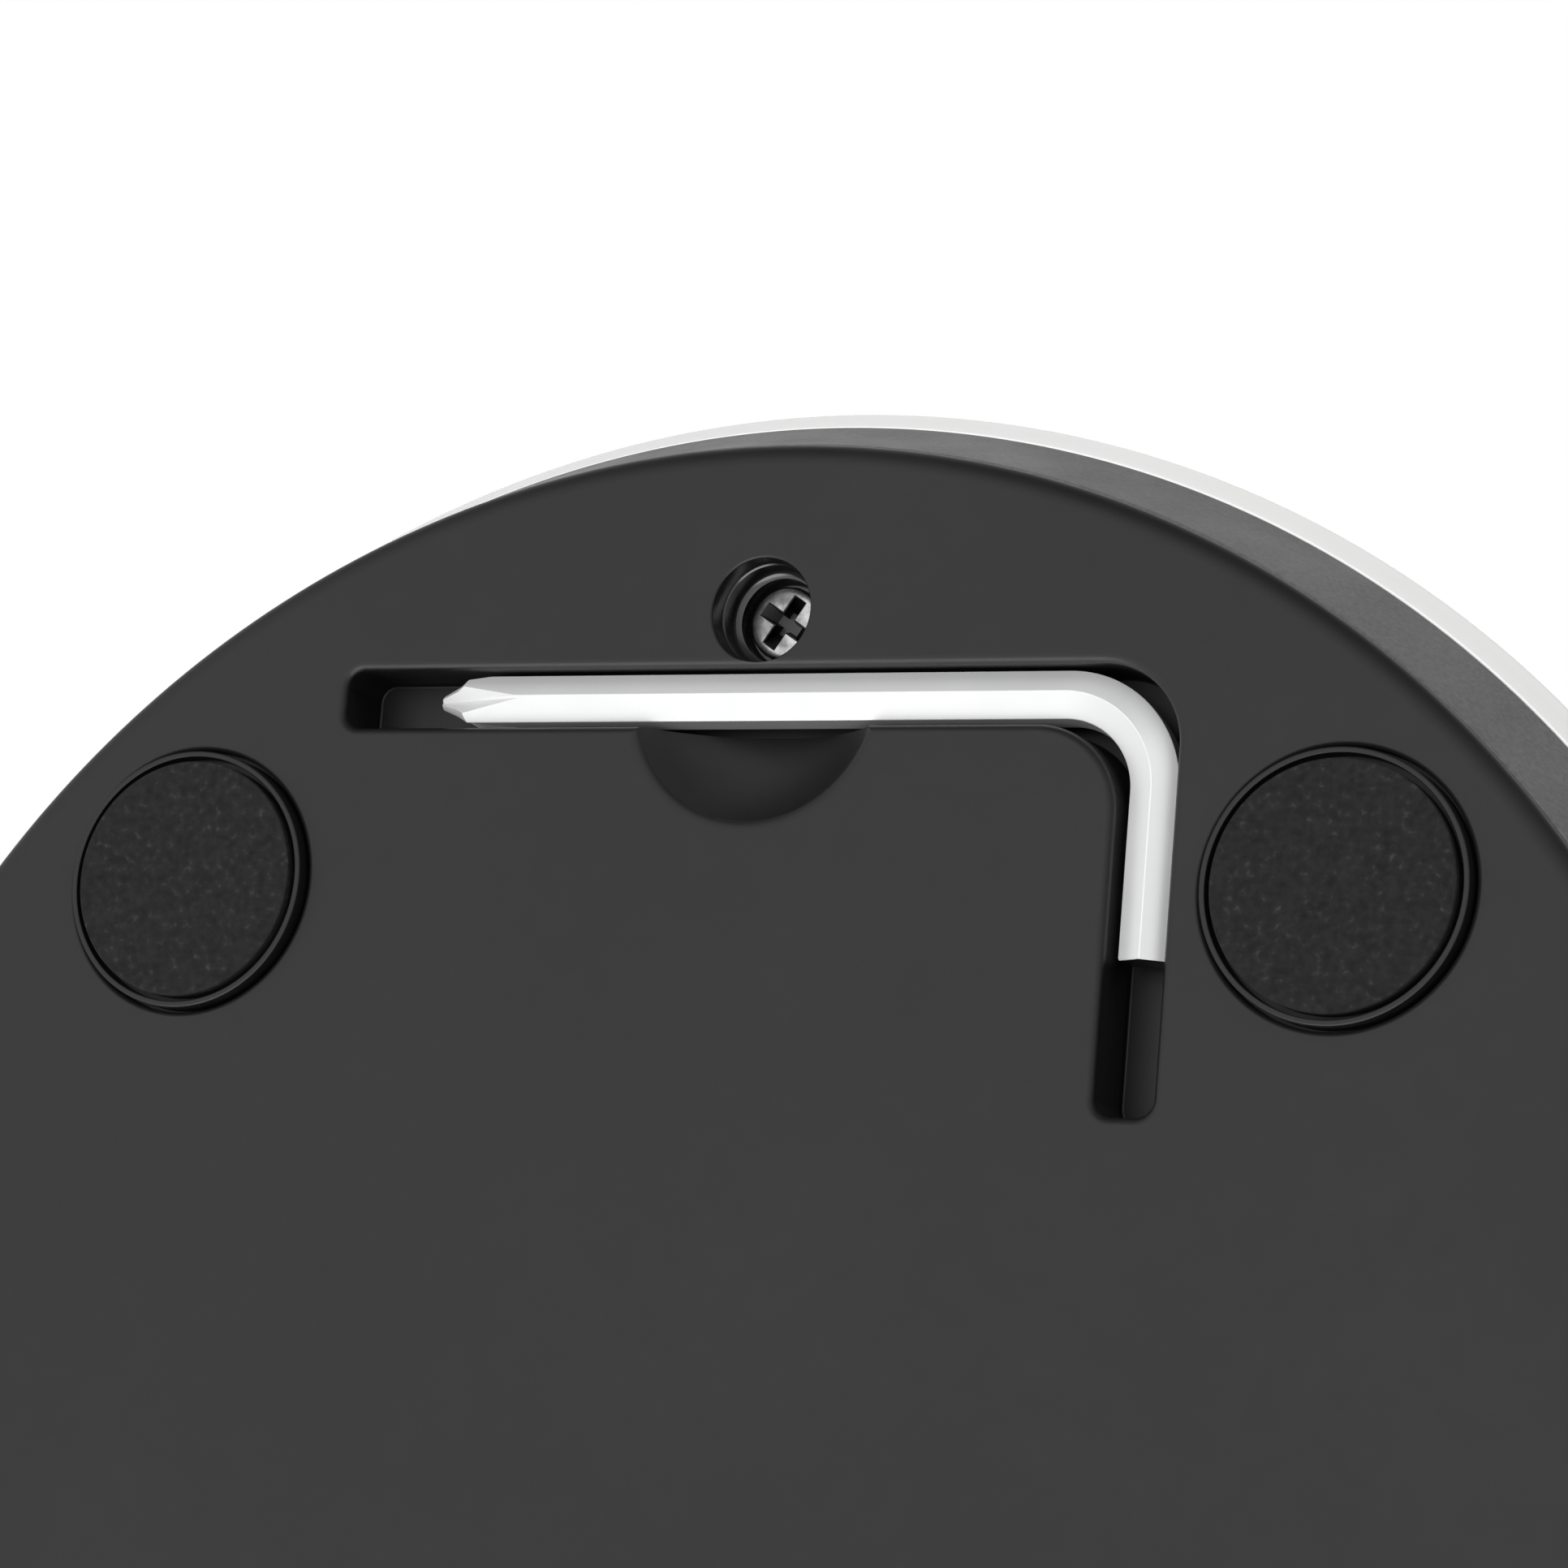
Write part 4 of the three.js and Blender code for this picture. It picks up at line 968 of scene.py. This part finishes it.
def hex_key(materials):
    bar = key_bar()
    tip_x = KEY_LOW.x
    tip_profile = [(0, 0), (0.95, 0), (1.05, 0.1), (2.37, 2.75), (3.9, 4.85), (3.9, 200), (0, 200)]
    cone = turned("tip_cone", tip_profile)
    to_x = Matrix.Rotation(math.radians(90), 4, "Y")
    cone.data.transform(Matrix.Translation(Vector((tip_x, KEY_ARM_Y, KEY_Z)) * MM) @ to_x)
    rest = prism("short_arm_room", rounded_box(30, 75, -120, -60, 1), 0, 12)
    combine(cone, [rest], "UNION")
    combine(bar, [cone], "INTERSECT")
    start, slope, reach, rise = 0.7, 0.228, 15.0, 5.0
    spread = rise * math.tan(math.radians(59))
    flutes = []
    for k in range(4):
        spin = math.radians(90 * k)
        loops = []
        for along in (-1.0, reach):
            root = start + slope * along
            ring = [(0, root), (spread, root + rise), (-spread, root + rise)]
            loops.append([(tip_x + along, KEY_ARM_Y + a * math.cos(spin) - u * math.sin(spin),
                           KEY_Z + a * math.sin(spin) + u * math.cos(spin)) for a, u in ring])
        flutes.append(loft("flute", loops))
    combine(bar, flutes, "DIFFERENCE")
    finish_mesh(bar, 28)
    dress(bar, materials, "chrome", body="stored_hex_key", look="key_plating", replaces=["hex_key"])
    # painted shade: the key's end face gets the dark slot_shade finish
    bar.data.materials.append(materials["slot_shade"])
    for face in bar.data.polygons:
        if face.normal.y > 0.9 and face.center.y / MM > KEY_HIGH.y - 0.05:
            face.material_index = 1


# ---------- screws, door, button, cells ----------
def pan_screw(materials, node):
    low, high = box_mm(node)
    centre = (low + high) / 2
    face = low.z
    seat = face + 2.45
    profile = [(0, face), (2.5, face), (4.0, face + 0.02), (4.55, face + 0.09), (4.8, face + 0.22),
               (4.94, face + 0.42), (5.0, face + 0.7), (5.0, seat - 0.15), (4.85, seat), (1.9, seat)]
    z = seat + 0.5
    while z < high.z - 1.6:
        profile += [(1.55, z), (1.95, z + 0.35), (1.55, z + 0.7)]
        z += 0.8
    profile += [(0.5, high.z - 0.1), (0, high.z)]
    screw = turned(f"pan_screw_{node[-1]}", profile, 96, centre.x, centre.y)
    axis = Matrix.Translation(Vector((centre.x, centre.y, 0)) * MM)
    slots = []
    for turn in (33, 123):
        spin = axis @ Matrix.Rotation(math.radians(turn), 4, "Z")
        loops = []
        for z, half, width in ((face - 0.6, 4.4, 1.7), (face + 0.16, 3.7, 0.95), (face + 1.9, 1.7, 0.65)):
            loops.append([(x * half, y * width, z) for x, y in ((-1, -1), (1, -1), (1, 1), (-1, 1))])
        slot = loft("cross_slot", loops)
        slot.data.transform(spin)
        slots.append(slot)
    combine(screw, slots, "DIFFERENCE")
    finish_mesh(screw, 30)
    dress(screw, materials, "chrome", look="screw_plating", replaces=[node])
    # painted shade: the faces inside the cross slots get the dark slot_shade finish
    screw.data.materials.append(materials["slot_shade"])
    for part in screw.data.polygons:
        place = part.center / MM
        if face + 0.3 < place.z < seat - 0.3 and math.hypot(place.x - centre.x, place.y - centre.y) < 4.2:
            part.material_index = 1


def battery_lid(materials):
    low, high = box_mm("battery_door")
    pin_x = high.x
    plate_x = pin_x - 2.4
    t, edge = 2.0, 1.0
    axis_y, axis_z = low.y + edge, BASE_Z + t / 2
    loops = []
    for x, shrink in ((-plate_x, 0.25), (-plate_x + 0.08, 0.1), (-plate_x + 0.3, 0.0),
                      (plate_x - 0.3, 0.0), (plate_x - 0.08, 0.1), (plate_x, 0.25)):
        r = edge - shrink
        points = arc(axis_y, axis_z, r, r, 90, 270, 12)
        points += arc(high.y - 0.3, BASE_Z + 0.3 + shrink, 0.3 - shrink * 0.3, 0.3, -90, 0, 3)
        points += [(high.y - shrink * 0.3, BASE_Z + t - shrink)]
        loops.append([(x, y, z) for y, z in points])
    plate = loft("lid_plate", loops)
    pin_profile = [(0, -pin_x), (0.5, -pin_x), (0.6, -pin_x + 0.1), (0.6, pin_x - 0.1)]
    pin_profile += [(0.5, pin_x), (0, pin_x)]
    pin = turned("lid_pin", pin_profile, 32)
    to_x = Matrix.Rotation(math.radians(90), 4, "Y")
    pin.data.transform(Matrix.Translation(Vector((0, axis_y, axis_z)) * MM) @ to_x)
    tongue = rounded_box(-6, 6, high.y - 5.4, high.y - 4.4, 0.2)
    latch = prism("latch", tongue, BASE_Z + t - 0.5, BASE_Z + t + 2.5)
    combine(plate, [pin, latch], "UNION")
    grip = [pocket("grip", rounded_box(-8, 8, high.y - 3.4, high.y + 2, 1.5), BASE_Z, 0.9, 0.3, 0.4, 5)]
    for i in range(5):
        y = high.y - 6.6 - 1.6 * i
        grip.append(pocket("groove", rounded_box(-9, 9, y - 0.35, y + 0.35, 0.3), BASE_Z, 0.35, 0.1, 0.2, 4))
    combine(plate, grip, "DIFFERENCE")
    finish_mesh(plate, 32)
    dress(plate, materials, "base_plastic", body="battery_lid", replaces=["battery_door"])


def button(materials):
    low, high = box_mm("unit_button")
    centre = (low + high) / 2
    r = 5.0
    z = low.z
    profile = [(0, z + 0.3), (2.5, z + 0.22), (3.9, z + 0.03)] + arc(r - 0.6, z + 0.6, 0.6, 0.6, -90, 0, 6)
    profile += [(r, high.z - 1.3), (r + 1.4, high.z - 1.3), (r + 1.4, high.z - 0.5), (1.6, high.z - 0.5),
                (1.6, high.z), (0, high.z)]
    piece = turned("unit_push_button", profile, 96, centre.x, centre.y)
    finish_mesh(piece, 40)
    dress(piece, materials, "black_plastic", body="unit_key", replaces=["unit_button"])


def battery(materials, node, way):
    """An AAA cell along X, its positive end towards +X when way is 1 and towards -X when it is -1."""
    low, high = box_mm(node)
    centre = (low + high) / 2
    length = high.x - low.x
    r = (high.z - low.z) / 2
    steel_end = length - 1.0
    profile = [(0, 0), (4.0, 0), (4.2, 0.15), (4.4, 0.5)] + arc(r - 0.5, 1.0, 0.5, 0.5, -90, 0, 4)
    profile += arc(r - 0.5, steel_end - 0.9, 0.5, 0.5, 0, 90, 4)
    profile += [(4.4, steel_end - 0.4), (4.2, steel_end), (1.9, steel_end)]
    profile += [(1.85, length - 0.15), (1.7, length), (0, length)]
    cell = turned(f"aaa_{node}", profile, 64)
    turn = Matrix.Rotation(math.radians(90 * way), 4, "Y")
    start_x = low.x if way > 0 else high.x
    start = Vector((start_x, centre.y, centre.z)) * MM
    cell.data.transform(Matrix.Translation(start) @ turn)
    finish_mesh(cell, 32)
    dress(cell, materials, "cell_jacket", replaces=[node])
    cell.data.materials.append(materials["cell_steel"])
    for face in cell.data.polygons:
        along = abs(face.center.x / MM - start_x)
        radius = math.hypot(face.center.y / MM - centre.y, face.center.z / MM - centre.z)
        if along < 0.6 or along > steel_end - 0.6 and radius < 4.5:
            face.material_index = 1


def carried_over(materials):
    """Gives every CAD node the finish of its slot; a detailed piece then stands for some of them."""
    slots = {entry["node"]: entry["material_slot"] for entry in frame["record"]["subparts"]}
    for name, node in frame["nodes"].items():
        node.data.materials.clear()
        node.data.materials.append(materials[slots[name]])


def make_scale():
    materials = make_materials()
    carried_over(materials)
    base_moulding(materials)
    side_skirt(materials)
    platform_frame(materials)
    glass_plate(materials)
    back_print(materials)
    display_digits(materials)
    for name in FEET:
        foot(materials, name)
    hex_key(materials)
    for node in SCREWS:
        pan_screw(materials, node)
    battery_lid(materials)
    button(materials)
    battery(materials, "battery_rear", 1)
    battery(materials, "battery_front", -1)


bpy.context.scene.view_settings.view_transform = "Standard"
make_camera()
make_world()
for entry in LIGHTS:
    area_light(*entry)
make_floor()
make_scale()
